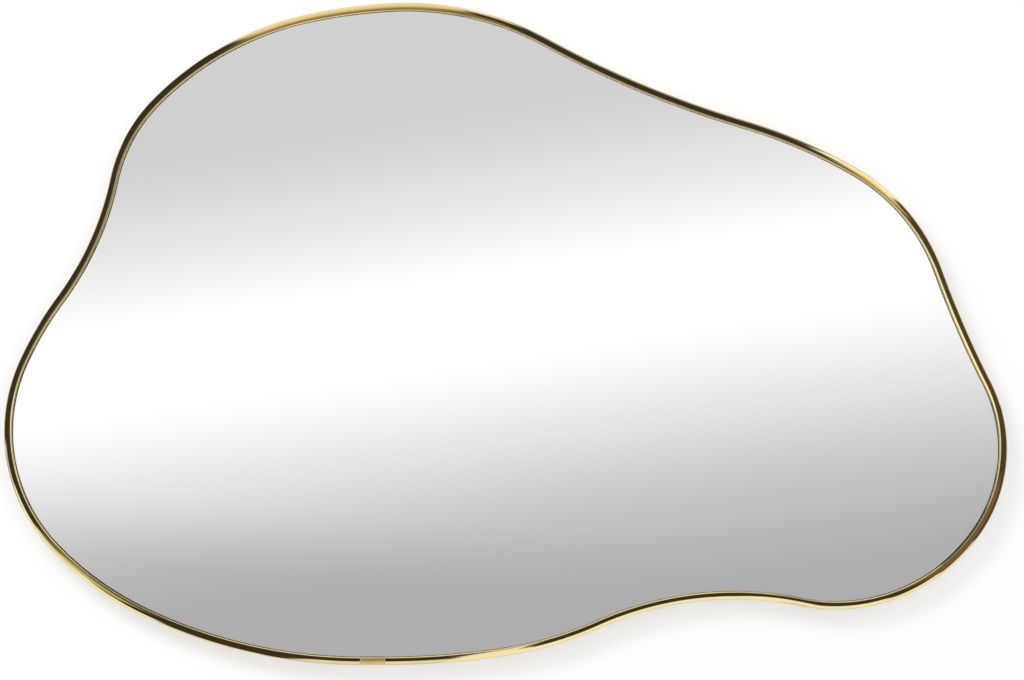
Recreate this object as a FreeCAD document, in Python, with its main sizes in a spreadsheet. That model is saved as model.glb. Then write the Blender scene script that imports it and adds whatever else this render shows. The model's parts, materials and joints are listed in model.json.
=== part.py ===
import FreeCAD, Part
import math
import os

import Sketcher
from FreeCAD import Placement, Rotation, Vector

# An irregular wall mirror: a pane with bulges and hollows in a bent metal channel, on a backing board with
# four hangers. Millimetres. X to the right, Z up, and the glass faces -Y. The origin is the middle of the
# mirror's box: its depth runs from the frame's crest at -11 to the bumpers' faces, which touch the wall, at
# +11. "Inset" is a distance inwards from the frame's outer edge. "Back" is the face of a piece towards the
# wall. Radii of holes, screws and wire are named as such, and every other size is a full width, height or
# length. cut_overrun is how far a cut starts ahead of the face it goes in at, and runs past where it ends.

DIMENSIONS = [
    # the frame rail's section
    ("frame_front", -11.0),
    ("frame_back", 9.0),
    ("face_width", 7.0),
    ("outer_round_radius", 1.3),
    ("inner_round_radius", 0.6),
    ("crown_tilt", 18.0),
    ("web_thickness", 1.5),
    ("lip_thickness", 2.0),
    ("back_lip_width", 8.0),
    ("back_lip_thickness", 1.2),
    # the joint at the bottom, where the rail's ends meet
    ("bottom_edge", -300.0),
    ("joint_middle", -120.0),
    ("joint_length", 22.0),
    ("joint_gap", 0.15),
    ("splice_length", 72.0),
    ("splice_width", 4.8),
    ("splice_thickness", 2.2),
    ("splice_inset", 2.4),
    ("splice_hole_radius", 1.7),
    ("cut_overrun", 0.5),
    # the layers, from the glass to the board
    ("glass_inset", 2.5),
    ("glass_thickness", 4.0),
    ("film_inset", 3.5),
    ("film_thickness", 0.2),
    ("tape_width", 25.0),
    ("tape_thickness", 0.8),
    ("board_inset", 2.5),
    ("board_thickness", 9.0),
    ("edge_pad_length", 30.0),
    ("edge_pad_depth", 12.0),
    ("edge_pad_thickness", 0.9),
    ("edge_pad_gap", 0.05),
    # the spring clips between the board and the rail's back lip
    ("clip_length", 40.0),
    ("clip_width", 4.4),
    ("clip_thickness", 0.5),
    ("clip_inset", 3.2),
    # a hanger: strap, ring and screws, measured from the ring's pivot
    ("strap_width", 14.0),
    ("strap_length", 39.0),
    ("strap_thickness", 1.2),
    ("strap_hole_radius", 2.0),
    ("strap_end_radius", 6.0),
    ("first_screw", 18.0),
    ("second_screw", 32.0),
    ("ring_wire_radius", 1.3),
    ("ring_corner_radius", 2.5),
    ("ring_bow_radius", 9.8),
    ("ring_clearance", 0.08),
    ("ring_lean", 1.5),
    ("pilot_radius", 1.5),
    ("pilot_depth", 8.0),
    # where the hangers' pivots are: the upper pair side by side, the side pair about the balance line
    ("upper_hanger_x", 255.0),
    ("upper_hanger_z", 140.0),
    ("side_hanger_x", 355.0),
    ("side_hanger_reach", 75.0),
    ("balance_line_z", -21.0),
    # the screws: head_rounding is the share of a head's height that its rim is rounded by
    ("head_rounding", 0.6),
    ("wood_head_radius", 3.3),
    ("wood_head_height", 2.0),
    ("wood_shank_length", 8.5),
    ("splice_head_radius", 2.75),
    ("splice_head_height", 1.6),
    ("splice_shank_radius", 1.5),
    ("splice_shank_length", 3.4),
    ("recess_width", 0.9),
    ("recess_length", 3.0),
    ("recess_depth", 1.0),
    # the bumpers
    ("bumper_radius", 7.0),
    ("bumper_height", 6.0),
    ("bumper_round", 1.5),
]

# The rail's bends from the right end of the joint, anticlockwise seen from the front: radius of the outer
# edge and turn in degrees. A bend with a minus turns the other way and makes a hollow. Two radii are left
# open: they are worked out so that the rail comes back to the joint's left end, and join the rest in the sheet.
BENDS = [
    (725, 8.5),
    (340, 15.5),
    (300, -35.5),
    (None, 66.5),
    (135, 62.0),
    (900, -7.0),
    (None, 40.0),
    (470, 13.5),
    (925, -12.0),
    (270, 32.0),
    (490, 8.5),
    (280, 33.5),
    (145, 32.5),
    (280, -24.5),
    (315, 12.0),
    (155, 68.0),
    (280, 21.0),
    (460, 25.5),
]
# Bends, counted from 0, with a soft pad between glass and rail at their middle, and with a spring clip there.
PADDED_BENDS = (2, 4, 7, 12, 15)
CLIPPED_BENDS = (1, 3, 4, 6, 8, 9, 11, 13, 15, 16)

# Double-sided tape: the middle of each upright strip, its lower end and its upper end.
TAPE_STRIPS = [
    (-370, -170, 10),
    (-270, -235, 200),
    (-150, -260, 250),
    (-30, -250, 250),
    (90, -225, 200),
    (210, -200, 155),
    (320, -200, 100),
    (405, -150, -10),
]

# Hangers: the ring's pivot in X and Z, and how far the hanger is turned about Y. The upper pair holds the
# mirror this way up, and the side pair holds it turned by a quarter.
HANGERS = {
    "upper_left": ("-dims.upper_hanger_x", "dims.upper_hanger_z", 0),
    "upper_right": ("dims.upper_hanger_x", "dims.upper_hanger_z", 0),
    "side_high": ("dims.side_hanger_x", "dims.balance_line_z + dims.side_hanger_reach", 90),
    "side_low": ("dims.side_hanger_x", "dims.balance_line_z - dims.side_hanger_reach", 90),
}
# Bumpers: the middle of each in X and Z.
BUMPERS = {
    "lower_left": (-330, -190),
    "lower_right": (330, -190),
    "upper_left": (-300, 190),
    "upper_right": (320, 90),
}
SPLICE_SCREWS = (-30, -18, 0, 18, 30)  # along the joint, from its middle
# Degrees that the cross recesses are turned: each splice screw past the one before it, and a strap's two.
SPLICE_SCREW_SPIN = 17
HANGER_SCREW_SPINS = (25, 65)
TOLERANCE = 0.01  # smaller lengths and volumes than this count as nothing

doc = FreeCAD.newDocument("irregular_mirror")
dims = doc.addObject("Spreadsheet::Sheet", "dims")
nodes = {}


def fill_sheet(column, rows):
    """Writes words into a column of the sheet, and their numbers, with the words as aliases, beside them."""
    number_column = chr(ord(column) + 1)
    for row, (word, number) in enumerate(rows, 1):
        dims.set(f"{column}{row}", word)
        dims.set(f"{number_column}{row}", str(number))
        dims.setAlias(f"{number_column}{row}", word)
    doc.recompute()


fill_sheet("A", DIMENSIONS)


def size(text):
    """The value of an expression over the sheet's cells."""
    return float(dims.evalExpression(text))


def bound(target, **expressions):
    """Binds properties of an object to expressions over the sheet."""
    for name, text in expressions.items():
        target.setExpression(name.replace("__", "."), text)


def add_node(name, shape_object):
    """Registers an object as one piece of the mirror, under the name of its node."""
    shape_object.Label = name
    nodes[name] = shape_object


# --- the outline -------------------------------------------------------------------------------------------


def closed_bends():
    """The bends as (signed radius, turn in radians), the open radii worked out from the way back."""
    turns = [math.radians(turn) for _, turn in BENDS]
    headings = [sum(turns[:i]) for i in range(len(turns) + 1)]
    across, up = -size("dims.joint_length"), 0.0
    unknown = []
    for (radius, turn), start, end in zip(BENDS, headings, headings[1:]):
        run = math.sin(end) - math.sin(start)
        rise = math.cos(start) - math.cos(end)
        if radius is None:
            unknown.append((run, rise))
        else:
            signed = math.copysign(radius, turn)
            across -= signed * run
            up -= signed * rise
    (run_a, rise_a), (run_b, rise_b) = unknown
    determinant = run_a * rise_b - run_b * rise_a
    found = [
        (across * rise_b - run_b * up) / determinant,
        (run_a * up - across * rise_a) / determinant,
    ]
    return [
        (found.pop(0) if radius is None else math.copysign(radius, turn), angle)
        for (radius, turn), angle in zip(BENDS, turns)
    ]


bends = closed_bends()
fill_sheet("D", [(f"bend_{i}_radius", abs(radius)) for i, (radius, _) in enumerate(bends)])
fill_sheet("F", [(f"bend_{i}_turn", turn) for i, (_, turn) in enumerate(BENDS)])


def station(index, share, inset):
    """Point (x, z) and heading on a bend, at a share of its turn, on the line at an inset."""
    x = size("dims.joint_middle + dims.joint_length / 2")
    z = size("dims.bottom_edge") + inset
    heading = 0.0
    for radius, turn in bends[:index]:
        x += (radius - inset) * (math.sin(heading + turn) - math.sin(heading))
        z += (radius - inset) * (math.cos(heading) - math.cos(heading + turn))
        heading += turn
    radius, turn = bends[index]
    ahead = heading + share * turn
    x += (radius - inset) * (math.sin(ahead) - math.sin(heading))
    z += (radius - inset) * (math.cos(heading) - math.cos(ahead))
    return Vector(x, z, 0), ahead


def origin_plane(body, role):
    """The body's own origin plane with a role such as XZ_Plane."""
    return next(f for f in body.Origin.OriginFeatures if f.Role == role)


def new_sketch(body, name, role, offset=(0, 0, 0)):
    """A sketch on one of the body's own origin planes, its origin moved by offset in the plane's axes."""
    sketch = body.newObject("Sketcher::SketchObject", name)
    sketch.AttachmentSupport = (origin_plane(body, role), [""])
    sketch.MapMode = "FlatFace"
    for axis, text in zip("xyz", offset):
        if text:
            sketch.setExpression(f"AttachmentOffset.Base.{axis}", text)
    doc.recompute()
    return sketch


def bound_constraint(sketch, kind, *place, text):
    """A constraint with its value bound to an expression."""
    index = sketch.addConstraint(Sketcher.Constraint(kind, *place, size(text)))
    sketch.setExpression(f"Constraints[{index}]", text)


def outline_sketch(body, name, inset, closed):
    """The outline at an inset as tangent arcs, closed by a straight line across the joint where asked."""
    sketch = new_sketch(body, name, "XZ_Plane")
    distance = size(inset)
    for index in range(len(bends)):
        points = [station(index, share, distance)[0] for share in (0, 0.5, 1)]
        sketch.addGeometry(Part.Arc(*points), False)
    ends = [(1, 2) if radius > 0 else (2, 1) for radius, _ in bends]
    if closed:
        last = station(len(bends) - 1, 1, distance)[0]
        sketch.addGeometry(Part.LineSegment(last, station(0, 0, distance)[0]), False)
        ends.append((1, 2))
    count = len(ends)
    joins = count if closed else count - 1
    for index in range(joins):
        after = (index + 1) % count
        sketch.addConstraint(
            Sketcher.Constraint("Tangent", index, ends[index][1], after, ends[after][0])
        )
    for index, (radius, _) in enumerate(bends):
        sign = "-" if radius > 0 else "+"
        bound_constraint(sketch, "Radius", index, text=f"dims.bend_{index}_radius {sign} {inset}")
    doc.recompute()
    return sketch


def polygon_sketch(body, name, role, corners, arcs=None, offset=(0, 0, 0)):
    """A closed outline through corners given as expression pairs. arcs maps a side's number to its radius.

    A side with a radius is an arc that bulges to the right of its direction of travel.
    """
    sketch = new_sketch(body, name, role, offset)
    points = [Vector(size(a), size(b), 0) for a, b in corners]
    count = len(points)
    for side, start in enumerate(points):
        end = points[(side + 1) % count]
        if arcs and side in arcs:
            radius = size(arcs[side])
            chord = end - start
            half = chord.Length / 2
            rise = radius - math.sqrt(radius**2 - half**2)
            outward = Vector(chord.y, -chord.x, 0).normalize()
            top = (start + end) / 2 + outward * rise
            sketch.addGeometry(Part.Arc(start, top, end), False)
        else:
            sketch.addGeometry(Part.LineSegment(start, end), False)
    for side in range(count):
        sketch.addConstraint(Sketcher.Constraint("Coincident", side, 2, (side + 1) % count, 1))
    for side, (across, up) in enumerate(corners):
        bound_constraint(sketch, "DistanceX", -1, 1, side, 1, text=across)
        bound_constraint(sketch, "DistanceY", -1, 1, side, 1, text=up)
    for side, radius in (arcs or {}).items():
        bound_constraint(sketch, "Radius", side, text=radius)
    doc.recompute()
    return sketch


def circle_sketch(body, name, role, centres, radius, offset=(0, 0, 0)):
    """Circles of one bound radius about centres given as numbers or expressions."""
    sketch = new_sketch(body, name, role, offset)
    for index, (across, up) in enumerate(centres):
        centre = Vector(size(str(across)), size(str(up)), 0)
        sketch.addGeometry(Part.Circle(centre, Vector(0, 0, 1), size(radius)), False)
        bound_constraint(sketch, "DistanceX", -1, 1, index, 3, text=str(across))
        bound_constraint(sketch, "DistanceY", -1, 1, index, 3, text=str(up))
        bound_constraint(sketch, "Radius", index, text=radius)
    doc.recompute()
    return sketch


def pad(body, sketch, length, symmetric=False, towards_normal=True):
    """Raises a sketch by a length, to one side of its plane or half to each."""
    feature = body.newObject("PartDesign::Pad", f"{sketch.Name}_pad")
    feature.Profile = sketch
    if symmetric:
        feature.SideType = "Symmetric"
    feature.Reversed = not towards_normal
    bound(feature, Length=length)
    doc.recompute()
    return feature


def pocket(body, sketch, length, towards_normal):
    """Cuts a sketch into the body, and makes sure that it took something away."""
    before = body.Shape.Volume
    feature = body.newObject("PartDesign::Pocket", f"{sketch.Name}_pocket")
    feature.Profile = sketch
    feature.Reversed = towards_normal
    bound(feature, Length=length)
    doc.recompute()
    if not body.Shape.Volume < before - TOLERANCE:
        raise ValueError(f"{feature.Name} cuts nothing")
    return feature


def fillet(body, feature, radius, chosen):
    """Rounds the edges of a feature that a test picks."""
    edges = [f"Edge{i}" for i, edge in enumerate(feature.Shape.Edges, 1) if chosen(edge)]
    rounding = body.newObject("PartDesign::Fillet", f"{feature.Name}_fillet")
    rounding.Base = (feature, edges)
    bound(rounding, Radius=radius)
    doc.recompute()
    return rounding


def new_body(name):
    """A body that is one node."""
    body = doc.addObject("PartDesign::Body", name)
    add_node(name, body)
    return body


def group_of_copies(name, pattern, places):
    """One node that holds a copy of a pattern at each place."""
    copies = []
    for number, place in enumerate(places, 1):
        copy = doc.addObject("App::Link", f"{name}_{number}")
        copy.LinkedObject = pattern
        copy.Placement = place
        copies.append(copy)
    group = doc.addObject("Part::Compound", name)
    group.Links = copies
    add_node(name, group)
    return group


# --- the frame rail and its joint --------------------------------------------------------------------------

# The section's corners (depth, inset), from the back outer corner round by the front. The crown is an arc
# that lies flat at the crest and ends crown_tilt steep at the outer rounding.
CREST = "(dims.face_width - dims.inner_round_radius)"
ROUND_END = "dims.outer_round_radius * (1 - sin(dims.crown_tilt))"
CROWN_RADIUS = f"(({CREST} - {ROUND_END}) / sin(dims.crown_tilt))"
CROWN_DROP = f"{CROWN_RADIUS} * (1 - cos(dims.crown_tilt))"
LIP_BACK = "dims.frame_back - dims.back_lip_thickness"
GLASS_SEAT = "dims.frame_front + dims.lip_thickness"
RAIL_SECTION = [
    ("dims.frame_back", "0"),
    ("dims.frame_back", "dims.back_lip_width"),
    (LIP_BACK, "dims.back_lip_width"),
    (LIP_BACK, "dims.web_thickness"),
    (GLASS_SEAT, "dims.web_thickness"),
    (GLASS_SEAT, "dims.face_width"),
    ("dims.frame_front + dims.inner_round_radius", "dims.face_width"),
    ("dims.frame_front", CREST),
    (f"dims.frame_front + {CROWN_DROP}", ROUND_END),
    (f"dims.frame_front + {CROWN_DROP} + dims.outer_round_radius * cos(dims.crown_tilt)", "0"),
]
RAIL_ROUNDS = {6: "dims.inner_round_radius", 7: CROWN_RADIUS, 8: "dims.outer_round_radius"}


def splice_hole_centres(middle):
    """Centres of the splice screws that lie past the sleeve, or of the one in its middle."""
    reach = size("dims.joint_length") / 2
    height = "dims.bottom_edge + dims.splice_inset + dims.splice_width / 2"
    chosen = [along for along in SPLICE_SCREWS if (abs(along) < reach) == middle]
    return [(f"dims.joint_middle + {along}", height) for along in chosen]


def make_frame_rail():
    """The channel bent round the pane: its section carried along the bends."""
    body = new_body("frame_rail")
    path = outline_sketch(body, "rail_path", "0", closed=False)
    start = ("0", "dims.bottom_edge", "dims.joint_middle + dims.joint_length / 2")
    section = polygon_sketch(body, "rail_section", "YZ_Plane", RAIL_SECTION, RAIL_ROUNDS, start)
    pipe = body.newObject("PartDesign::AdditivePipe", "rail_pipe")
    pipe.Profile = section
    pipe.Spine = path
    doc.recompute()
    holes = circle_sketch(
        body,
        "rail_splice_holes",
        "XZ_Plane",
        splice_hole_centres(middle=False),
        "dims.splice_hole_radius",
        ("0", "0", f"-({LIP_BACK}) + dims.cut_overrun"),
    )
    pocket(body, holes, "dims.back_lip_thickness + 2 * dims.cut_overrun", towards_normal=False)


def make_joint_sleeve():
    """The straight piece between the rail's ends, of the rail's own section."""
    body = new_body("joint_sleeve")
    start = ("0", "dims.bottom_edge", "dims.joint_middle")
    section = polygon_sketch(body, "sleeve_section", "YZ_Plane", RAIL_SECTION, RAIL_ROUNDS, start)
    pad(body, section, "dims.joint_length - 2 * dims.joint_gap", symmetric=True)
    hole = circle_sketch(
        body,
        "sleeve_splice_hole",
        "XZ_Plane",
        splice_hole_centres(middle=True),
        "dims.splice_hole_radius",
        ("0", "0", f"-({LIP_BACK}) + dims.cut_overrun"),
    )
    pocket(body, hole, "dims.back_lip_thickness + 2 * dims.cut_overrun", towards_normal=False)


def make_splice_plate():
    """The steel bar behind the board that the rail's ends and the sleeve are screwed to."""
    body = new_body("splice_plate")
    low, high = "dims.splice_inset", "dims.splice_inset + dims.splice_width"
    front = f"{LIP_BACK} - dims.splice_thickness"
    corners = [(front, low), (LIP_BACK, low), (LIP_BACK, high), (front, high)]
    start = ("0", "dims.bottom_edge", "dims.joint_middle")
    section = polygon_sketch(body, "splice_section", "YZ_Plane", corners, None, start)
    pad(body, section, "dims.splice_length", symmetric=True)
    centres = splice_hole_centres(middle=False) + splice_hole_centres(middle=True)
    holes = circle_sketch(
        body,
        "splice_threads",
        "XZ_Plane",
        centres,
        "dims.splice_shank_radius",
        ("0", "0", f"-({front}) + dims.cut_overrun"),
    )
    pocket(body, holes, "dims.splice_thickness + 2 * dims.cut_overrun", towards_normal=False)


def make_screw(name, head, head_height, shank, length):
    """A pan-head screw with a cross recess, its head on the plane y = 0 and its shank towards -Y."""
    screw_head = doc.addObject("Part::Cylinder", f"{name}_head")
    bound(screw_head, Radius=head, Height=head_height)
    turned = Rotation(Vector(1, 0, 0), -90)
    screw_head.Placement = Placement(Vector(), turned)
    doc.recompute()
    rounded = doc.addObject("Part::Fillet", f"{name}_rounded_head")
    rounded.Base = screw_head
    rounding = size(f"{head_height} * dims.head_rounding")
    rounded.Edges = [
        (i, rounding, rounding)
        for i, edge in enumerate(screw_head.Shape.Edges, 1)
        if edge.Closed and edge.CenterOfMass.y > size(head_height) / 2
    ]
    screw_shank = doc.addObject("Part::Cylinder", f"{name}_shank")
    bound(screw_shank, Radius=shank, Height=length)
    screw_shank.Placement = Placement(Vector(), Rotation(Vector(1, 0, 0), 90))
    whole = doc.addObject("Part::MultiFuse", f"{name}_blank")
    whole.Shapes = [rounded, screw_shank]
    slots = []
    for number, (wide, tall) in enumerate((("width", "length"), ("length", "width"))):
        slot = doc.addObject("Part::Box", f"{name}_slot_{number}")
        bound(
            slot,
            Length=f"dims.recess_{wide}",
            Width="dims.recess_depth + dims.cut_overrun",
            Height=f"dims.recess_{tall}",
            Placement__Base__x=f"-dims.recess_{wide} / 2",
            Placement__Base__y=f"{head_height} - dims.recess_depth",
            Placement__Base__z=f"-dims.recess_{tall} / 2",
        )
        slots.append(slot)
    cross = doc.addObject("Part::MultiFuse", f"{name}_cross")
    cross.Shapes = slots
    screw = doc.addObject("Part::Cut", name)
    screw.Base = whole
    screw.Tool = cross
    doc.recompute()
    return screw


def make_splice_screws():
    """The screws through the back lip into the splice plate."""
    screw = make_screw(
        "splice_screw",
        "dims.splice_head_radius",
        "dims.splice_head_height",
        "dims.splice_shank_radius",
        "dims.splice_shank_length",
    )
    back = size("dims.frame_back")
    height = size("dims.bottom_edge + dims.splice_inset + dims.splice_width / 2")
    middle = size("dims.joint_middle")
    places = [
        Placement(Vector(middle + along, back, height), Rotation(Vector(0, 1, 0), SPLICE_SCREW_SPIN * number))
        for number, along in enumerate(SPLICE_SCREWS)
    ]
    group_of_copies("splice_screws", screw, places)


# --- the pane and what is behind it ------------------------------------------------------------------------

GLASS_BACK = f"({GLASS_SEAT} + dims.glass_thickness)"
FILM_BACK = f"({GLASS_BACK} + dims.film_thickness)"
TAPE_BACK = f"({FILM_BACK} + dims.tape_thickness)"
BOARD_BACK = f"({TAPE_BACK} + dims.board_thickness)"


def make_plate(name, inset, thickness, back):
    """A flat sheet cut to the outline at an inset, placed by its back face."""
    body = new_body(name)
    sketch = outline_sketch(body, f"{name}_outline", inset, closed=True)
    pad(body, sketch, thickness)
    body.setExpression("Placement.Base.y", back)
    doc.recompute()
    return body


def hanger_place(pivot_x, pivot_z, turn):
    """Where a hanger's pivot lies on the board's back, and how the hanger is turned."""
    spot = Vector(size(pivot_x), size(BOARD_BACK), size(pivot_z))
    return Placement(spot, Rotation(Vector(0, 1, 0), turn))


def hanger_screw_places():
    """The eight hanger screws, as (hanger's name, placement of the strap's face under the head)."""
    for name, hanger in HANGERS.items():
        for distance, spin in zip(("dims.first_screw", "dims.second_screw"), HANGER_SCREW_SPINS):
            seat = Vector(0, size("dims.strap_thickness"), -size(distance))
            turned = Rotation(Vector(0, 1, 0), spin)
            yield name, hanger_place(*hanger).multiply(Placement(seat, turned))


def make_backing_board():
    """The fibreboard with a pilot hole for each hanger screw."""
    board = make_plate("backing_board", "dims.board_inset", "dims.board_thickness", BOARD_BACK)
    centres = [(round(p.Base.x, 3), round(p.Base.z, 3)) for _, p in hanger_screw_places()]
    pilots = circle_sketch(board, "board_pilots", "XZ_Plane", centres, "dims.pilot_radius")
    pocket(board, pilots, "dims.pilot_depth", towards_normal=True)


def make_mounting_tape():
    """Upright strips of foam tape between the film and the board."""
    strips = []
    for number, (middle, low, high) in enumerate(TAPE_STRIPS, 1):
        strip = doc.addObject("Part::Box", f"tape_strip_{number}")
        bound(
            strip,
            Length="dims.tape_width",
            Width="dims.tape_thickness",
            Height=str(high - low),
            Placement__Base__x=f"{middle} - dims.tape_width / 2",
            Placement__Base__y=FILM_BACK,
            Placement__Base__z=str(low),
        )
        strips.append(strip)
    group = doc.addObject("Part::Compound", "mounting_tape_strips")
    group.Links = strips
    add_node("mounting_tape_strips", group)


def bend_share(index, along):
    """The share of a bend that a length of its middle takes up."""
    radius, turn = bends[index]
    return along / abs(radius * turn)


def make_edge_pads():
    """Soft pads bent along the glass edge, in the gap between the pane and the rail's web."""
    inset = size("dims.web_thickness + dims.edge_pad_gap")
    deep = size("dims.edge_pad_depth")
    thick = size("dims.edge_pad_thickness")
    front = size(GLASS_SEAT)
    pads = []
    for index in PADDED_BENDS:
        half = bend_share(index, size("dims.edge_pad_length")) / 2
        spots = [station(index, share, inset) for share in (0.5 - half, 0.5, 0.5 + half)]
        points = [Vector(p.x, front, p.y) for p, _ in spots]
        spine = Part.Wire([Part.Arc(*points).toShape()])
        heading = spots[0][1]
        inward = Vector(-math.sin(heading), 0, math.cos(heading)) * thick
        back = Vector(0, deep, 0)
        ring = [points[0], points[0] + inward, points[0] + inward + back, points[0] + back, points[0]]
        pads.append(spine.makePipe(Part.Face(Part.makePolygon(ring))))
    group = doc.addObject("Part::Feature", "glass_edge_pads")
    group.Shape = Part.makeCompound(pads)
    add_node("glass_edge_pads", group)


def make_spring_clips():
    """Bowed strips between the board and the rail's back lip: ends on the board, middle under the lip."""
    body = doc.addObject("PartDesign::Body", "spring_clip")
    bow = f"({LIP_BACK} - {BOARD_BACK})"
    half = "dims.clip_length / 2"
    radius = f"(({half} * {half} + ({bow} - dims.clip_thickness)^2) / 2 / ({bow} - dims.clip_thickness))"
    sketch = new_sketch(body, "clip_side", "XY_Plane")
    rise, reach, thick = size(bow), size(half), size("dims.clip_thickness")
    inner = [Vector(-reach, 0, 0), Vector(0, rise - thick, 0), Vector(reach, 0, 0)]
    outer = [Vector(-reach, thick, 0), Vector(0, rise, 0), Vector(reach, thick, 0)]
    sketch.addGeometry(Part.Arc(*inner), False)
    sketch.addGeometry(Part.Arc(*outer), False)
    sketch.addGeometry(Part.LineSegment(inner[0], outer[0]), False)
    sketch.addGeometry(Part.LineSegment(inner[2], outer[2]), False)
    for first, spot, line, end in ((0, 2, 2, 1), (1, 2, 2, 2), (0, 1, 3, 1), (1, 1, 3, 2)):
        sketch.addConstraint(Sketcher.Constraint("Coincident", first, spot, line, end))
    bound_constraint(sketch, "Radius", 0, text=radius)
    pad(body, sketch, "dims.clip_width")
    places = []
    for index in CLIPPED_BENDS:
        spot, heading = station(index, 0.5, size("dims.clip_inset"))
        turn = Rotation(Vector(0, 1, 0), -math.degrees(heading))
        places.append(Placement(Vector(spot.x, size(BOARD_BACK), spot.y), turn))
    group_of_copies("spring_clips", body, places)


# --- the hangers and bumpers -------------------------------------------------------------------------------

PIVOT = "(dims.strap_thickness + dims.ring_wire_radius + dims.ring_clearance)"
EYE = "(dims.ring_wire_radius + dims.ring_clearance)"
EYE_OPEN = 60  # the rolled eye stops this many degrees short of the plate


def make_hanger_strap(name, place):
    """A flat strap with its upper end rolled into an eye round the ring's bar."""
    body = new_body(name)
    sketch = new_sketch(body, f"{name}_side", "YZ_Plane")
    thick, pivot, inner = size("dims.strap_thickness"), size(PIVOT), size(EYE)
    tail = -size("dims.strap_length")
    outer = inner + thick

    def around(radius, angle):
        """A point of the eye: 0 degrees is its side next to the board, counted over the top."""
        turn = math.radians(angle)
        return Vector(pivot - radius * math.cos(turn), radius * math.sin(turn), 0)

    stop = 360 - EYE_OPEN
    sides = [
        Part.LineSegment(Vector(0, tail, 0), around(outer, 0)),
        Part.Arc(around(outer, 0), around(outer, stop / 2), around(outer, stop)),
        Part.LineSegment(around(outer, stop), around(inner, stop)),
        Part.Arc(around(inner, stop), around(inner, stop / 2), around(inner, 0)),
        Part.LineSegment(around(inner, 0), Vector(thick, tail, 0)),
        Part.LineSegment(Vector(thick, tail, 0), Vector(0, tail, 0)),
    ]
    for side in sides:
        sketch.addGeometry(side, False)
    for first, spot, after, start in (
        (0, 2, 1, 2),
        (1, 1, 2, 1),
        (2, 2, 3, 1),
        (3, 2, 4, 1),
        (4, 2, 5, 1),
        (5, 2, 0, 1),
    ):
        sketch.addConstraint(Sketcher.Constraint("Coincident", first, spot, after, start))
    bound_constraint(sketch, "Radius", 1, text=f"{EYE} + dims.strap_thickness")
    bound_constraint(sketch, "Radius", 3, text=EYE)
    plate = pad(body, sketch, "dims.strap_width", symmetric=True)
    centres = [("0", "-dims.first_screw"), ("0", "-dims.second_screw")]
    start = ("0", "0", "dims.cut_overrun")
    holes = circle_sketch(body, f"{name}_holes", "XZ_Plane", centres, "dims.strap_hole_radius", start)
    cut = pocket(body, holes, "dims.strap_thickness + 2 * dims.cut_overrun", towards_normal=False)

    def at_tail_corner(edge):
        """Whether an edge runs through the plate at a corner of its lower end."""
        box = edge.BoundBox
        return box.ZMax < tail + TOLERANCE and box.XLength < TOLERANCE

    fillet(body, cut, "dims.strap_end_radius", at_tail_corner)
    body.Placement = place


def make_hanger_ring(name, place):
    """A D of round wire: a straight bar in the strap's eye, two tight bends and a half circle."""
    body = new_body(name)
    bend, bow = size("dims.ring_corner_radius"), size("dims.ring_bow_radius")
    flat = bow - bend
    path = new_sketch(body, f"{name}_path", "XZ_Plane")
    diagonal = bend * math.sqrt(0.5)
    bar_left, bar_right = Vector(-flat, 0, 0), Vector(flat, 0, 0)
    bow_left, bow_right = Vector(-bow, -bend, 0), Vector(bow, -bend, 0)
    left_corner = Vector(-flat - diagonal, diagonal - bend, 0)
    right_corner = Vector(flat + diagonal, diagonal - bend, 0)
    path.addGeometry(Part.LineSegment(bar_left, bar_right), False)
    path.addGeometry(Part.Arc(bar_right, right_corner, bow_right), False)
    path.addGeometry(Part.Arc(bow_right, Vector(0, -bend - bow, 0), bow_left), False)
    path.addGeometry(Part.Arc(bow_left, left_corner, bar_left), False)
    for first, spot, after, start in ((0, 2, 1, 2), (1, 1, 2, 2), (2, 1, 3, 2), (3, 1, 0, 1)):
        path.addConstraint(Sketcher.Constraint("Tangent", first, spot, after, start))
    bound_constraint(path, "Radius", 2, text="dims.ring_bow_radius")
    bound_constraint(path, "Radius", 1, text="dims.ring_corner_radius")
    wire = circle_sketch(body, f"{name}_wire", "YZ_Plane", [("0", "0")], "dims.ring_wire_radius")
    pipe = body.newObject("PartDesign::AdditivePipe", f"{name}_pipe")
    pipe.Profile = wire
    pipe.Spine = path
    doc.recompute()
    lean = Rotation(Vector(1, 0, 0), size("dims.ring_lean"))
    body.Placement = place.multiply(Placement(Vector(0, size(PIVOT), 0), lean))


def make_hangers():
    """The straps and their rings."""
    for name, hanger in HANGERS.items():
        make_hanger_strap(f"hanger_strap_{name}", hanger_place(*hanger))
        make_hanger_ring(f"hanger_ring_{name}", hanger_place(*hanger))


def make_hanger_screws():
    """The wood screws that hold the straps on the board, a node for each strap."""
    screw = make_screw(
        "hanger_screw",
        "dims.wood_head_radius",
        "dims.wood_head_height",
        "dims.pilot_radius",
        "dims.wood_shank_length",
    )
    for name in HANGERS:
        places = [place for hanger, place in hanger_screw_places() if hanger == name]
        group_of_copies(f"hanger_screws_{name}", screw, places)


def make_bumper(name, middle_x, middle_z):
    """A round rubber bumper with a rounded rim and a flat face against the wall."""
    body = new_body(f"wall_bumper_{name}")
    circle = circle_sketch(body, f"bumper_{name}_circle", "XZ_Plane", [("0", "0")], "dims.bumper_radius")
    disc = pad(body, circle, "dims.bumper_height", towards_normal=False)

    def at_face(edge):
        """Whether an edge lies in the face against the wall."""
        return edge.BoundBox.YMin > size("dims.bumper_height") - TOLERANCE

    fillet(body, disc, "dims.bumper_round", at_face)
    body.Placement = Placement(Vector(middle_x, size(BOARD_BACK), middle_z), Rotation())


# --- building and writing ----------------------------------------------------------------------------------


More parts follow.
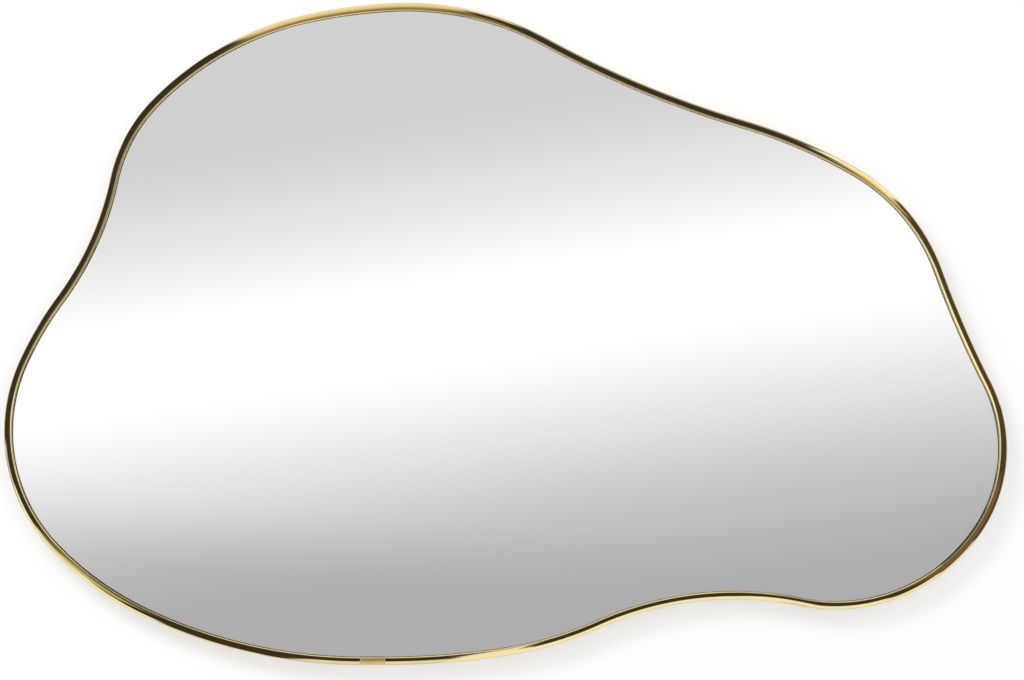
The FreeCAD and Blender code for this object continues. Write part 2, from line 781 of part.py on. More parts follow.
def check_document():
    """Stops if any object failed or any piece has no valid shape."""
    for item in doc.Objects:
        if "Invalid" in item.State or "Error" in item.State:
            raise ValueError(f"{item.Name} failed: {item.State}")
    for name, item in nodes.items():
        if item.Shape.isNull() or not item.Shape.isValid() or not item.Shape.Solids:
            raise ValueError(f"{name} has no valid solid")


def write_parts():
    """Writes each piece to parts/NODE.step and prints what it measures."""
    os.makedirs("parts", exist_ok=True)
    whole = FreeCAD.BoundBox()
    for name, item in nodes.items():
        item.Shape.exportStep(f"parts/{name}.step")
        box = item.Shape.optimalBoundingBox(False, False)
        whole.add(box)
        solids = len(item.Shape.Solids)
        print(f"{name}: {solids} solids, {item.Shape.Volume:.0f} mm3, Y {box.YMin:.2f} to {box.YMax:.2f}")
    print(f"X {whole.XMin:.2f} to {whole.XMax:.2f}, Y {whole.YMin:.2f} to {whole.YMax:.2f}, ", end="")
    print(f"Z {whole.ZMin:.2f} to {whole.ZMax:.2f}")


make_frame_rail()
make_joint_sleeve()
make_splice_plate()
make_splice_screws()
make_plate("mirror_glass", "dims.glass_inset", "dims.glass_thickness", GLASS_BACK)
make_plate("safety_film", "dims.film_inset", "dims.film_thickness", FILM_BACK)
make_mounting_tape()
make_backing_board()
make_edge_pads()
make_spring_clips()
make_hangers()
make_hanger_screws()
for bumper_name, (bumper_x, bumper_z) in BUMPERS.items():
    make_bumper(bumper_name, bumper_x, bumper_z)
doc.recompute()
check_document()
write_parts()
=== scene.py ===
"""The looks of an irregular wall mirror: a gold rail round a free-form pane, and the hangers behind it."""

import json
import logging
import math
from dataclasses import dataclass, field
from enum import Enum
from typing import Any

import bmesh
import bpy
import numpy as np
from mathutils import Matrix, Vector


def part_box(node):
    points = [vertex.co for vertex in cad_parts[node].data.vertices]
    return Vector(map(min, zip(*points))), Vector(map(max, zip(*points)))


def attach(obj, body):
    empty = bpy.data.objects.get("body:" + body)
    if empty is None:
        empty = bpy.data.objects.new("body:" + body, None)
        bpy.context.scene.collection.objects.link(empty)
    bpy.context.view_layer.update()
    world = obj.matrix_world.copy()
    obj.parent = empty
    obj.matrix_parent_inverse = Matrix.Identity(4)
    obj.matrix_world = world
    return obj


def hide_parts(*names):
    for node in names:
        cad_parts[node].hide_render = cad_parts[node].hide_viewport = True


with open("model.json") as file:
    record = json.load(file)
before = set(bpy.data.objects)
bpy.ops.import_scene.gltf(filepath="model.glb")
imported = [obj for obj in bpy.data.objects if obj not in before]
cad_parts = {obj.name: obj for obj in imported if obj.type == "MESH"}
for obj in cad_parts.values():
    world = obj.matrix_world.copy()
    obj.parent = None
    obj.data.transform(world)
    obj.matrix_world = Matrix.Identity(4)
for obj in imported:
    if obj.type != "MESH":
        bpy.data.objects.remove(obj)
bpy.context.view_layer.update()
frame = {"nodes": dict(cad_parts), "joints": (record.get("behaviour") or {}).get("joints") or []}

LOG = logging.getLogger("mirror")
MM = 0.001  # the sizes below are millimetres, and the scene is in metres
BUMPERS = ("lower_left", "lower_right", "upper_left", "upper_right")
Tree = bpy.types.NodeTree
Socket = bpy.types.NodeSocket


# --- meshes ---------------------------------------------------------------------------------------


def arc(centre: tuple[float, float], radius: float, start: float, end: float, steps: int) -> np.ndarray:
    """Points on a circle: the centre plus the radius times the cosine and sine of an evenly stepped angle.

    Args:
        centre: the circle's middle.
        radius: the circle's radius.
        start: the first angle in degrees.
        end: the last angle in degrees.
        steps: how many parts the arc is divided into.

    Returns:
        The points, one row each.
    """
    angle = np.radians(np.linspace(start, end, steps + 1))
    return np.stack([centre[0] + radius * np.cos(angle), centre[1] + radius * np.sin(angle)], axis=1)


def tube_faces(rings: int, sides: int, closed: bool = False) -> np.ndarray:
    """Quads between rings of points: point i of a ring joins point i + 1 of it, and both join the next ring.

    Args:
        rings: how many rings there are.
        sides: how many points each ring has.
        closed: whether the last ring joins the first.

    Returns:
        The corners' numbers, one row of four for each quad.
    """
    ring = np.arange(rings if closed else rings - 1)[:, None]
    side = np.arange(sides)[None, :]
    after, beside = (ring + 1) % rings, (side + 1) % sides
    corners = (ring * sides + side, ring * sides + beside, after * sides + beside, after * sides + side)
    return np.stack(corners, axis=-1).reshape(-1, 4)


def make_piece(
    name: str,
    points: np.ndarray,
    faces: list[list[int]],
    materials: list[bpy.types.Material],
    body: str,
    crease: float = 32.0,
) -> bpy.types.Object:
    """Puts points and faces into a mesh object that rides on a body.

    Args:
        name: the piece's name.
        points: its points in millimetres, one row each.
        faces: the numbers of each face's corners.
        materials: its finishes, of which the first covers all faces at first.
        body: the body that it moves with.
        crease: edges that turn more than this many degrees stay sharp.

    Returns:
        The object, with its faces turned outwards.
    """
    mesh = bpy.data.meshes.new(name)
    mesh.from_pydata((points * MM).tolist(), [], faces)
    shell = bmesh.new()
    shell.from_mesh(mesh)
    bmesh.ops.recalc_face_normals(shell, faces=shell.faces)
    shell.to_mesh(mesh)
    shell.free()
    mesh.shade_smooth()
    mesh.set_sharp_from_angle(angle=math.radians(crease))
    for material in materials:
        mesh.materials.append(material)
    piece = bpy.data.objects.new(name, mesh)
    bpy.context.scene.collection.objects.link(piece)
    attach(piece, body)
    LOG.info("%s: %d points, %d faces, on %s", name, len(mesh.vertices), len(mesh.polygons), body)
    return piece


def paint_faces(piece: bpy.types.Object, chosen: np.ndarray, slot: int) -> None:
    """Gives the piece's chosen faces the finish in a slot of the piece."""
    index = np.zeros(len(piece.data.polygons), dtype=np.int32)
    piece.data.polygons.foreach_get("material_index", index)
    index[chosen] = slot
    piece.data.polygons.foreach_set("material_index", index)


def placed(points: np.ndarray, place: Matrix) -> np.ndarray:
    """The points turned and moved by a matrix: its turning part times each point, plus its shift."""
    table = np.array(place)
    return points @ table[:3, :3].T + table[:3, 3]


# --- finishes -------------------------------------------------------------------------------------


def linear(colour: str) -> tuple[float, float, float, float]:
    """An sRGB hex colour as linear red, green, blue and a full alpha."""
    parts = [int(colour[i : i + 2], 16) / 255 for i in (1, 3, 5)]
    return (*(p / 12.92 if p <= 0.04045 else ((p + 0.055) / 1.055) ** 2.4 for p in parts), 1.0)


def add(
    tree: Tree,
    kind: str,
    inputs: dict[str | int, Any] | None = None,
    stops: list[tuple[float, str]] | None = None,
    **settings: Any,
) -> bpy.types.Node:
    """Adds a node.

    Args:
        tree: the material's or the world's tree.
        kind: the node's type.
        inputs: sockets by name or number, each with its value or with the socket that is linked to it.
        stops: places and hex colours of a colour ramp.
        **settings: the node's properties.

    Returns:
        The node.
    """
    made = tree.nodes.new(kind)
    for name, value in settings.items():
        setattr(made, name, value)
    for key, value in (inputs or {}).items():
        if isinstance(value, Socket):
            tree.links.new(value, made.inputs[key])
        else:
            made.inputs[key].default_value = value
    if stops:
        ramp = made.color_ramp
        while len(ramp.elements) < len(stops):
            ramp.elements.new(0.5)
        for element, (position, colour) in zip(ramp.elements, stops):
            element.position = position
            element.color = linear(colour)
    return made


def grains_per_metre(millimetres: float) -> float:
    """The scale at which one cell of a noise pattern is that many millimetres across."""
    return 1000.0 / millimetres


@dataclass(frozen=True)
class Finish:
    """A surface finish, made into a material once and then shared."""

    name: str

    def material(self) -> bpy.types.Material:
        """The finish's material, made the first time it is asked for."""
        made = bpy.data.materials.get(self.name)
        if made is None:
            made = bpy.data.materials.new(self.name)
            made.use_nodes = True
            self.dress(made.node_tree, made.node_tree.nodes["Principled BSDF"])
        return made

    def dress(self, tree: Tree, shader: bpy.types.Node) -> None:
        """Sets the shader and adds what varies over the surface.

        Args:
            tree: the material's nodes.
            shader: its Principled shader.
        """
        raise NotImplementedError


@dataclass(frozen=True)
class Metal(Finish):
    """A metal whose tone drifts over the surface and whose gloss is broken by fine marks."""

    metallic: float = 1.0
    light: str = "#FFFFFF"
    dark: str = "#DDDDDD"
    roughness: tuple[float, float] = (0.1, 0.2)
    drift: float = 30.0  # size of the drifts in tone
    mark: float = 0.4  # size of the fine marks
    stretch: tuple[float, float, float] = (1.0, 1.0, 1.0)  # how far the marks are drawn out along each axis
    depth: float = 0.004  # height of the marks
    tone_stops: tuple[float, float] = (0.35, 0.65)  # noise at which the dark and the light tone are reached
    mark_range: tuple[float, float] = (0.3, 0.7)  # noise at which the two roughnesses are reached

    def dress(self, tree: Tree, shader: bpy.types.Node) -> None:
        """Mixes two tones by a slow noise, and drives roughness and bump with a fine one."""
        place = add(tree, "ShaderNodeTexCoord").outputs["Object"]
        slow = add(
            tree,
            "ShaderNodeTexNoise",
            {"Vector": place, "Scale": grains_per_metre(self.drift), "Detail": 3.0},
        )
        tone = add(
            tree,
            "ShaderNodeValToRGB",
            {"Fac": slow.outputs["Fac"]},
            list(zip(self.tone_stops, (self.dark, self.light))),
        )
        drawn = add(
            tree,
            "ShaderNodeMapping",
            {"Vector": place, "Scale": tuple(1 / s for s in self.stretch)},
        )
        fine = add(
            tree,
            "ShaderNodeTexNoise",
            {"Vector": drawn.outputs["Vector"], "Scale": grains_per_metre(self.mark), "Detail": 4.0},
        )
        gloss = add(
            tree,
            "ShaderNodeMapRange",
            {
                "Value": fine.outputs["Fac"],
                "From Min": self.mark_range[0],
                "From Max": self.mark_range[1],
                "To Min": self.roughness[0],
                "To Max": self.roughness[1],
            },
        )
        bump = add(
            tree,
            "ShaderNodeBump",
            {"Height": fine.outputs["Fac"], "Strength": 1.0, "Distance": self.depth * MM},
        )
        shader.inputs["Metallic"].default_value = self.metallic
        tree.links.new(tone.outputs["Color"], shader.inputs["Base Color"])
        tree.links.new(gloss.outputs["Result"], shader.inputs["Roughness"])
        tree.links.new(bump.outputs["Normal"], shader.inputs["Normal"])


@dataclass(frozen=True)
class Matt(Finish):
    """A dull solid with a mottled tone and a grain."""

    light: str = "#FFFFFF"
    middle: str = "#EEEEEE"
    dark: str = "#DDDDDD"
    roughness: float = 0.8
    mottle: float = 2.0
    stretch: tuple[float, float, float] = (1.0, 1.0, 1.0)
    depth: float = 0.05
    coat: float = 0.0
    tone_stops: tuple[float, float, float] = (0.32, 0.5, 0.68)  # noise at which each tone is reached

    def dress(self, tree: Tree, shader: bpy.types.Node) -> None:
        """Mixes three tones by a noise of many sizes, whose height is also the bump."""
        place = add(tree, "ShaderNodeTexCoord").outputs["Object"]
        drawn = add(
            tree,
            "ShaderNodeMapping",
            {"Vector": place, "Scale": tuple(1 / s for s in self.stretch)},
        )
        mottled = add(
            tree,
            "ShaderNodeTexNoise",
            {
                "Vector": drawn.outputs["Vector"],
                "Scale": grains_per_metre(self.mottle),
                "Detail": 6.0,
                "Roughness": 0.65,
            },
        )
        tone = add(
            tree,
            "ShaderNodeValToRGB",
            {"Fac": mottled.outputs["Fac"]},
            list(zip(self.tone_stops, (self.dark, self.middle, self.light))),
        )
        bump = add(
            tree,
            "ShaderNodeBump",
            {"Height": mottled.outputs["Fac"], "Strength": 1.0, "Distance": self.depth * MM},
        )
        shader.inputs["Roughness"].default_value = self.roughness
        shader.inputs["Coat Weight"].default_value = self.coat
        tree.links.new(tone.outputs["Color"], shader.inputs["Base Color"])
        tree.links.new(bump.outputs["Normal"], shader.inputs["Normal"])


@dataclass(frozen=True)
class Glass(Finish):
    """Clear float glass: almost colourless, with the faint green of its iron."""

    tint: str = "#FEFFFE"
    index: float = 1.52
    ripple: float = 120.0  # size of the float bath's ripple
    tint_stops: tuple[float, float] = (0.3, 0.7)  # ripple heights at which the tint is full and gone

    def dress(self, tree: Tree, shader: bpy.types.Node) -> None:
        """Lets the light through, with a ripple of the float bath that only shows in the gloss."""
        place = add(tree, "ShaderNodeTexCoord").outputs["Object"]
        ripple = add(
            tree,
            "ShaderNodeTexNoise",
            {"Vector": place, "Scale": grains_per_metre(self.ripple), "Detail": 0.0},
        )
        tint = add(
            tree,
            "ShaderNodeValToRGB",
            {"Fac": ripple.outputs["Fac"]},
            list(zip(self.tint_stops, (self.tint, "#FFFFFF"))),
        )
        shader.inputs["Transmission Weight"].default_value = 1.0
        shader.inputs["Roughness"].default_value = 0.0
        shader.inputs["IOR"].default_value = self.index
        tree.links.new(tint.outputs["Color"], shader.inputs["Base Color"])


# Gold-toned plating on polished steel: bright yellow where it meets light, brown where it meets dark.
POLISHED_GOLD = Metal(
    "polished_gold_plating", light="#F8E3AB", dark="#F3DC9F", roughness=(0.03, 0.05), drift=60.0, mark=1.2,
    depth=0.0006,
)
# The same plating left as rolled, on the faces that nobody sees: a softer, duller gold.
ROLLED_GOLD = Metal(
    "rolled_gold_plating", light="#D9B56A", dark="#C59F55", roughness=(0.24, 0.36), drift=25.0, mark=0.5,
    depth=0.003,
)
# The sleeve's brushed plating: fine strokes blur what it mirrors into a soft tan sheen.
BRUSHED_GOLD = Metal(
    "brushed_gold_plating", metallic=0.85, light="#F6DA98", dark="#EBCB88", roughness=(0.2, 0.26),
    drift=14.0, mark=0.3, stretch=(0.6, 1.0, 4.0), depth=0.003,
)
# The sleeve's end rings: a pale colour painted on as a highlight, a thin bright line beside each seam where
# the cut edge would catch the light.
SLEEVE_END_HIGHLIGHT = Metal(
    "sleeve_end_painted_highlight", metallic=0.35, light="#FFF2DA", dark="#F2DDBB", roughness=(0.4, 0.5), drift=4.0,
    mark=0.3, depth=0.002,
)
# Silver behind glass: nearly white and sharp.
SILVERING = Metal(
    "wet_silvering", light="#FCFCFC", dark="#FAFAFA", roughness=(0.0, 0.004), drift=400.0, mark=200.0,
    depth=0.0,
)
# Zinc-plated steel strip: bluish grey, with the cloudy gloss of bright zinc.
ZINC = Metal(
    "bright_zinc_plating", light="#D4D8DC", dark="#AEB4BA", roughness=(0.2, 0.34), drift=5.0, mark=0.5,
    depth=0.006,
)
# Nickel-plated wire: brighter and smoother than the zinc.
NICKEL = Metal(
    "nickel_plated_wire", light="#DCD8D0", dark="#C2BDB4", roughness=(0.12, 0.2), drift=8.0, mark=0.4,
    depth=0.002,
)
# Hardened screw steel under thin zinc: a little darker than the straps, with brighter worn crests.
SCREW_STEEL = Metal(
    "zinc_plated_screw_steel", light="#C9CCCF", dark="#8F959B", roughness=(0.22, 0.38), drift=2.0, mark=0.3,
    depth=0.006,
)
# Blued spring steel: dark, with straw-coloured drifts from its tempering.
SPRING_STEEL = Metal(
    "tempered_spring_steel", light="#8A8176", dark="#4E5058", roughness=(0.25, 0.4), drift=12.0, mark=0.5,
    stretch=(6.0, 1.0, 1.0), depth=0.004,
)
# Raw medium-density fibreboard: tan, flecked with darker and paler fibres about 1.5 mm long.
FIBREBOARD = Matt(
    "raw_fibreboard", light="#C8A478", middle="#B38C5F", dark="#94704A", roughness=0.85, mottle=1.4,
    depth=0.06,
)
# Natural rubber: near black, with a bloom that greys it in patches.
RUBBER = Matt(
    "black_rubber", light="#34332F", middle="#262523", dark="#1B1B1A", roughness=0.62, mottle=1.1,
    depth=0.03,
)
# White polyethylene foam tape: matt, with its cells as a fine grain.
FOAM = Matt(
    "polyethylene_foam_tape", light="#F2F0EA", middle="#E6E3DB", dark="#D2CFC6", roughness=0.9, mottle=0.7,
    depth=0.08,
)
# Felted pad: warm grey fibres that cushion the glass edge.
FELT = Matt(
    "grey_felt_pad", light="#A9A59C", middle="#8E8A82", dark="#716D66", roughness=0.95, mottle=0.6,
    depth=0.1,
)
# Splinter-holding film: a thin silvery-grey plastic skin on the back of the pane.
FILM = Matt(
    "grey_safety_film", light="#8F9498", middle="#85898D", dark="#777B80", roughness=0.4, mottle=9.0,
    depth=0.01, coat=0.3,
)
# Protective paint on the silvering: an even grey with the faint roller grain of its coat.
BACKING_PAINT = Matt(
    "grey_backing_paint", light="#8B8F8C", middle="#808481", dark="#737774", roughness=0.55, mottle=0.8,
    depth=0.01,
)
CLEAR_GLASS = Glass("clear_float_glass")


# --- the frame rail -------------------------------------------------------------------------------


@dataclass(frozen=True)
class RailSection:
    """The rail's section in inset from the outer edge and depth towards the wall."""

    front: float = -11.0
    back: float = 9.0
    face_width: float = 7.0
    outer_round: float = 1.3
    inner_round: float = 0.6
    crown_tilt: float = 18.0  # degrees at the crown's outer end
    web: float = 1.5
    seat: float = -9.0  # where the glass rests
    lip_width: float = 8.0
    lip_thickness: float = 1.2
    corner: float = 0.35  # radius of the folded and cut corners
    root: float = 0.2  # radius of the inner corners

    def outline(self) -> np.ndarray:
        """The closed section as arcs joined by straight sides: corners, inner round, crown and outer round.

        The crown is an arc that lies flat at the crest and is crown_tilt steep where the outer round begins.

        Returns:
            Points of inset and depth, one row each.
        """
        tilt = math.radians(self.crown_tilt)
        crest = self.face_width - self.inner_round
        crown_end = self.outer_round * (1 - math.sin(tilt))
        crown = (crest - crown_end) / math.sin(tilt)
        shoulder = self.front + crown * (1 - math.cos(tilt)) + self.outer_round * math.cos(tilt)
        c, r = self.corner, self.root
        lip_front = self.back - self.lip_thickness
        parts = [
            arc((c, self.back - c), c, 180, 90, 4),
            arc((self.lip_width - c, self.back - c), c, 90, 0, 4),
            arc((self.lip_width - c, lip_front + c), c, 0, -90, 4),
            arc((self.web + r, lip_front - r), r, 90, 180, 2),
            arc((self.web + r, self.seat + r), r, 180, 270, 2),
            arc((self.face_width - c / 2, self.seat - c / 2), c / 2, 90, 0, 3),
            arc((crest, self.front + self.inner_round), self.inner_round, 0, -90, 12),
            arc((crest, self.front + crown), crown, -90, -90 - self.crown_tilt, 12)[1:],
            arc((self.outer_round, shoulder), self.outer_round, -90 - self.crown_tilt, -180, 10)[1:],
        ]
        return np.concatenate(parts)

    def shrunk(self, distance: float) -> np.ndarray:
        """The section moved inwards: each point goes against the normal of its neighbours' line."""
        points = self.outline()
        along = np.roll(points, -1, axis=0) - np.roll(points, 1, axis=0)
        along /= np.linalg.norm(along, axis=1, keepdims=True)
        across = np.stack([along[:, 1], -along[:, 0]], axis=1)
        return points + distance * across


@dataclass
class Walk:
    """The rail's outer edge: bends joined tangent to tangent, walked anticlockwise as the front is seen."""

    start: tuple[float, float] = (-109.0, -300.0)
    gap: float = 22.0  # between the walk's end and its start, filled by the sleeve
    step: float = 2.4  # between two stations
    # radius of the outer edge and turn in degrees; a radius of None is solved so that the walk closes
    bends: tuple[tuple[float | None, float], ...] = (
        (725, 8.5),
        (340, 15.5),
        (300, -35.5),
        (None, 66.5),
        (135, 62.0),
        (900, -7.0),
        (None, 40.0),
        (470, 13.5),
        (925, -12.0),
        (270, 32.0),
        (490, 8.5),
        (280, 33.5),
        (145, 32.5),
        (280, -24.5),
        (315, 12.0),
        (155, 68.0),
        (280, 21.0),
        (460, 25.5),
    )

    def closed_bends(self) -> np.ndarray:
        """Signed radius and turn in radians of each bend, with the open radii solved from the way back.

        A bend moves the walk by its radius times the change of the heading's sine and of its negative
        cosine. The two open radii are those for which all bends and the gap add up to nothing.

        Returns:
            One row for each bend.
        """
        turn = np.radians([t for _, t in self.bends])
        radius = np.array([math.nan if r is None else math.copysign(r, t) for r, t in self.bends])
        heading = np.concatenate([[0.0], np.cumsum(turn)])
        moves = np.stack([np.diff(np.sin(heading)), -np.diff(np.cos(heading))])
        known = ~np.isnan(radius)
        rest = np.array([-self.gap, 0.0]) - moves[:, known] @ radius[known]
        radius[~known] = np.linalg.solve(moves[:, ~known], rest)
        return np.stack([radius, turn], axis=1)

    def stations(self) -> tuple[np.ndarray, np.ndarray]:
        """Places on the outer edge, evenly spaced within each bend.

        From a bend's start the place moves by the radius times the change of the heading's sine, and of its
        negative cosine, while the heading grows evenly.

        Returns:
            The places in X and Z, one row each, and the headings in radians.
        """
        place, heading = np.array(self.start), 0.0
        places, headings = [], []
        for radius, turn in self.closed_bends():
            count = max(2, round(abs(radius * turn) / self.step))
            ahead = heading + turn * np.arange(count) / count
            places.append(place + radius * self.moved(heading, ahead))
            headings.append(ahead)
            place = place + radius * self.moved(heading, np.array([heading + turn]))[0]
            heading += turn
        places.append(place[None, :])
        headings.append(np.array([heading]))
        return np.concatenate(places), np.concatenate(headings)

    @staticmethod
    def moved(heading: float, ahead: np.ndarray) -> np.ndarray:
        """How far a bend of radius 1 goes: the changes of the heading's sine and negative cosine."""
        return np.stack([np.sin(ahead) - math.sin(heading), math.cos(heading) - np.cos(ahead)], axis=1)

    def inset(self, distance: float) -> np.ndarray:
        """The stations moved inwards, square to the heading, by a distance."""
        places, heading = self.stations()
        return places + distance * np.stack([-np.sin(heading), np.cos(heading)], axis=1)


@dataclass
class FrameRail:
    """The bent channel and the sleeve that closes it."""

    walk: Walk = field(default_factory=Walk)
    section: RailSection = field(default_factory=RailSection)
    sleeve_gap: float = 0.15
    break_edge: float = 0.35  # chamfer round the cut ends

    def swept(self, places: np.ndarray, heading: np.ndarray) -> tuple[np.ndarray, list[list[int]]]:
        """Carries the section along a line and closes both ends with a chamfer.

        A point's place is the station's place plus its inset times the inward normal, at its own depth. The
        first and last stations take the section shrunk by the chamfer, which breaks the cut ends' edges.

        Args:
            places: the outer edge's stations in X and Z.
            heading: the line's heading at each.

        Returns:
            The points and the faces.
        """
        full, small = self.section.outline(), self.section.shrunk(self.break_edge)
        count, sides = len(places), len(full)
        sections = np.broadcast_to(full, (count, sides, 2)).copy()
        sections[0], sections[-1] = small, small
        inward = np.stack([-np.sin(heading), np.cos(heading)], axis=1)
        flat = places[:, None, :] + sections[..., :1] * inward[:, None, :]
        points = np.stack([flat[..., 0], sections[..., 1], flat[..., 1]], axis=-1).reshape(-1, 3)
        faces = tube_faces(count, sides).tolist()
        faces.append(list(range(sides)))
        faces.append(list(range((count - 1) * sides, count * sides)))
        return points, faces

    def with_end_stations(self, places: np.ndarray, heading: np.ndarray) -> tuple[np.ndarray, np.ndarray]:
        """Adds a station one chamfer in from each end, along the line's own direction there."""
        ahead = np.stack([np.cos(heading), np.sin(heading)], axis=1)
        first = places[0] + self.break_edge * ahead[0]
        last = places[-1] - self.break_edge * ahead[-1]
        places = np.concatenate([places[:1], [first], places[1:-1], [last], places[-1:]])
        heading = np.concatenate([heading[:1], heading[:1], heading[1:-1], heading[-1:], heading[-1:]])
        return places, heading

    def hidden_faces(self, count: int) -> np.ndarray:
        """Which faces of a sweep lie behind the outer side: those of the back, the lip and the channel."""
        sides = len(self.section.outline())
        depth = self.section.outline()
        middle = (depth + np.roll(depth, -1, axis=0)) / 2
        hidden = (middle[:, 1] > self.section.back - self.section.corner) | (
            (middle[:, 0] > self.section.web - 0.01) & (middle[:, 1] > self.section.seat - 0.01)
        )
        return np.tile(hidden, count - 1)[: (count - 1) * sides]

    def build(self) -> None:
        """Makes the rail and the sleeve."""
        places, heading = self.with_end_stations(*self.walk.stations())
        points, faces = self.swept(places, heading)
        gold, rolled = POLISHED_GOLD.material(), ROLLED_GOLD.material()
        rail = make_piece("polished_rail", points, faces, [gold, rolled], "mirror")
        hidden = np.zeros(len(faces), dtype=bool)
        hidden[:-2] = self.hidden_faces(len(places))
        paint_faces(rail, hidden, 1)
        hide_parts("frame_rail")
        self.build_sleeve()

    def build_sleeve(self) -> None:
        """Makes the straight sleeve between the rail's ends."""
        right = self.walk.start[0] - self.sleeve_gap
        left = self.walk.start[0] - self.walk.gap + self.sleeve_gap
        across = np.linspace(left, right, 12)
        places = np.stack([across, np.full_like(across, self.walk.start[1])], axis=1)
        places, heading = self.with_end_stations(places, np.zeros(len(places)))
        points, faces = self.swept(places, heading)
        finishes = [BRUSHED_GOLD.material(), SLEEVE_END_HIGHLIGHT.material()]
        sleeve = make_piece("brushed_joint_sleeve", points, faces, finishes, "mirror")
        sides, rings = len(self.section.outline()), len(places) - 1
        ring = np.arange(len(faces)) // sides
        # the first and last rings of faces take the pale painted highlight
        paint_faces(sleeve, (ring == 0) | (ring == rings - 1), 1)
        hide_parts("joint_sleeve")


# --- the pane -------------------------------------------------------------------------------------


@dataclass
class Pane:
    """The mirror: clear glass with a silvered and painted back."""

    walk: Walk = field(default_factory=Walk)
    inset: float = 2.5
    front: float = -9.0
    back: float = -5.0
    arris: float = 0.4  # chamfer ground along the glass edge
    silver_inset: float = 0.5  # from the glass edge to the silver's edge
    silver_front: float = -5.07
    silver_back: float = -5.01
    middle: tuple[float, float] = (-15.0, -21.0)

    def plate(self, rim: list[tuple[float, float]], rings: int) -> tuple[np.ndarray, list[list[int]]]:
        """A flat plate to the outline, as a shell of closed lines.

        The two faces are rings that shrink evenly to the middle: a point is the middle plus a share of the
        way to the outline. The rim's lines are the outline at their own insets and depths.

        Args:
            rim: inset and depth of each line of the rim, from the front face round to the back face.
            rings: how many rings each face has.

        Returns:
            The points and the faces.
        """
        share = np.arange(1, rings) / rings
        lines = [self.walk.inset(distance) for distance, _ in rim]
        count = len(lines[0])
        middle = np.array(self.middle)
        front = middle + share[:, None, None] * (lines[0] - middle)
        back = middle + share[::-1, None, None] * (lines[-1] - middle)
        flat = np.concatenate([front, np.stack(lines), back])
        depth = np.concatenate(
            [np.full(rings - 1, rim[0][1]), [y for _, y in rim], np.full(rings - 1, rim[-1][1])]
        )
        depth = np.broadcast_to(depth[:, None], flat.shape[:2])
        points = np.stack([flat[..., 0], depth, flat[..., 1]], axis=-1).reshape(-1, 3)
        poles = np.array([[middle[0], rim[0][1], middle[1]], [middle[0], rim[-1][1], middle[1]]])
        near, far = len(points), len(points) + 1
        here = np.arange(count)
        beside = (here + 1) % count
        last = len(points) - count
        fans = [[near, int(b), int(a)] for a, b in zip(here, beside)]
        fans += [[far, int(last + a), int(last + b)] for a, b in zip(here, beside)]
        faces = tube_faces(len(flat), count).tolist() + fans
        return np.concatenate([points, poles]), faces

    def build(self) -> None:
        """Makes the glass and the silver inside its back face."""
        a = self.arris
        rim = [
            (self.inset + a, self.front),
            (self.inset, self.front + a),
            (self.inset, self.back - a),
            (self.inset + a, self.back),
        ]
        points, faces = self.plate(rim, 4)
        glass = make_piece("mirror_pane", points, faces, [CLEAR_GLASS.material()], "mirror", crease=20)
        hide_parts("mirror_glass")
        edge = self.inset + self.silver_inset
        points, faces = self.plate([(edge, self.silver_front), (edge, self.silver_back)], 2)
        layers = [SILVERING.material(), BACKING_PAINT.material()]
        silver = make_piece("mirror_silvering", points, faces, layers, "mirror", crease=20)
        normals = np.zeros(len(silver.data.polygons) * 3, dtype=np.float32)
        silver.data.polygons.foreach_get("normal", normals)
        paint_faces(silver, normals.reshape(-1, 3)[:, 1] > -0.5, 1)


# --- the hangers ----------------------------------------------------------------------------------


class RingPart(Enum):
    """The stretches of a D-ring's wire, in the order in which it is bent."""

    BAR = "bar"
    RIGHT_BEND = "right bend"
    BOW = "bow"
    LEFT_BEND = "left bend"


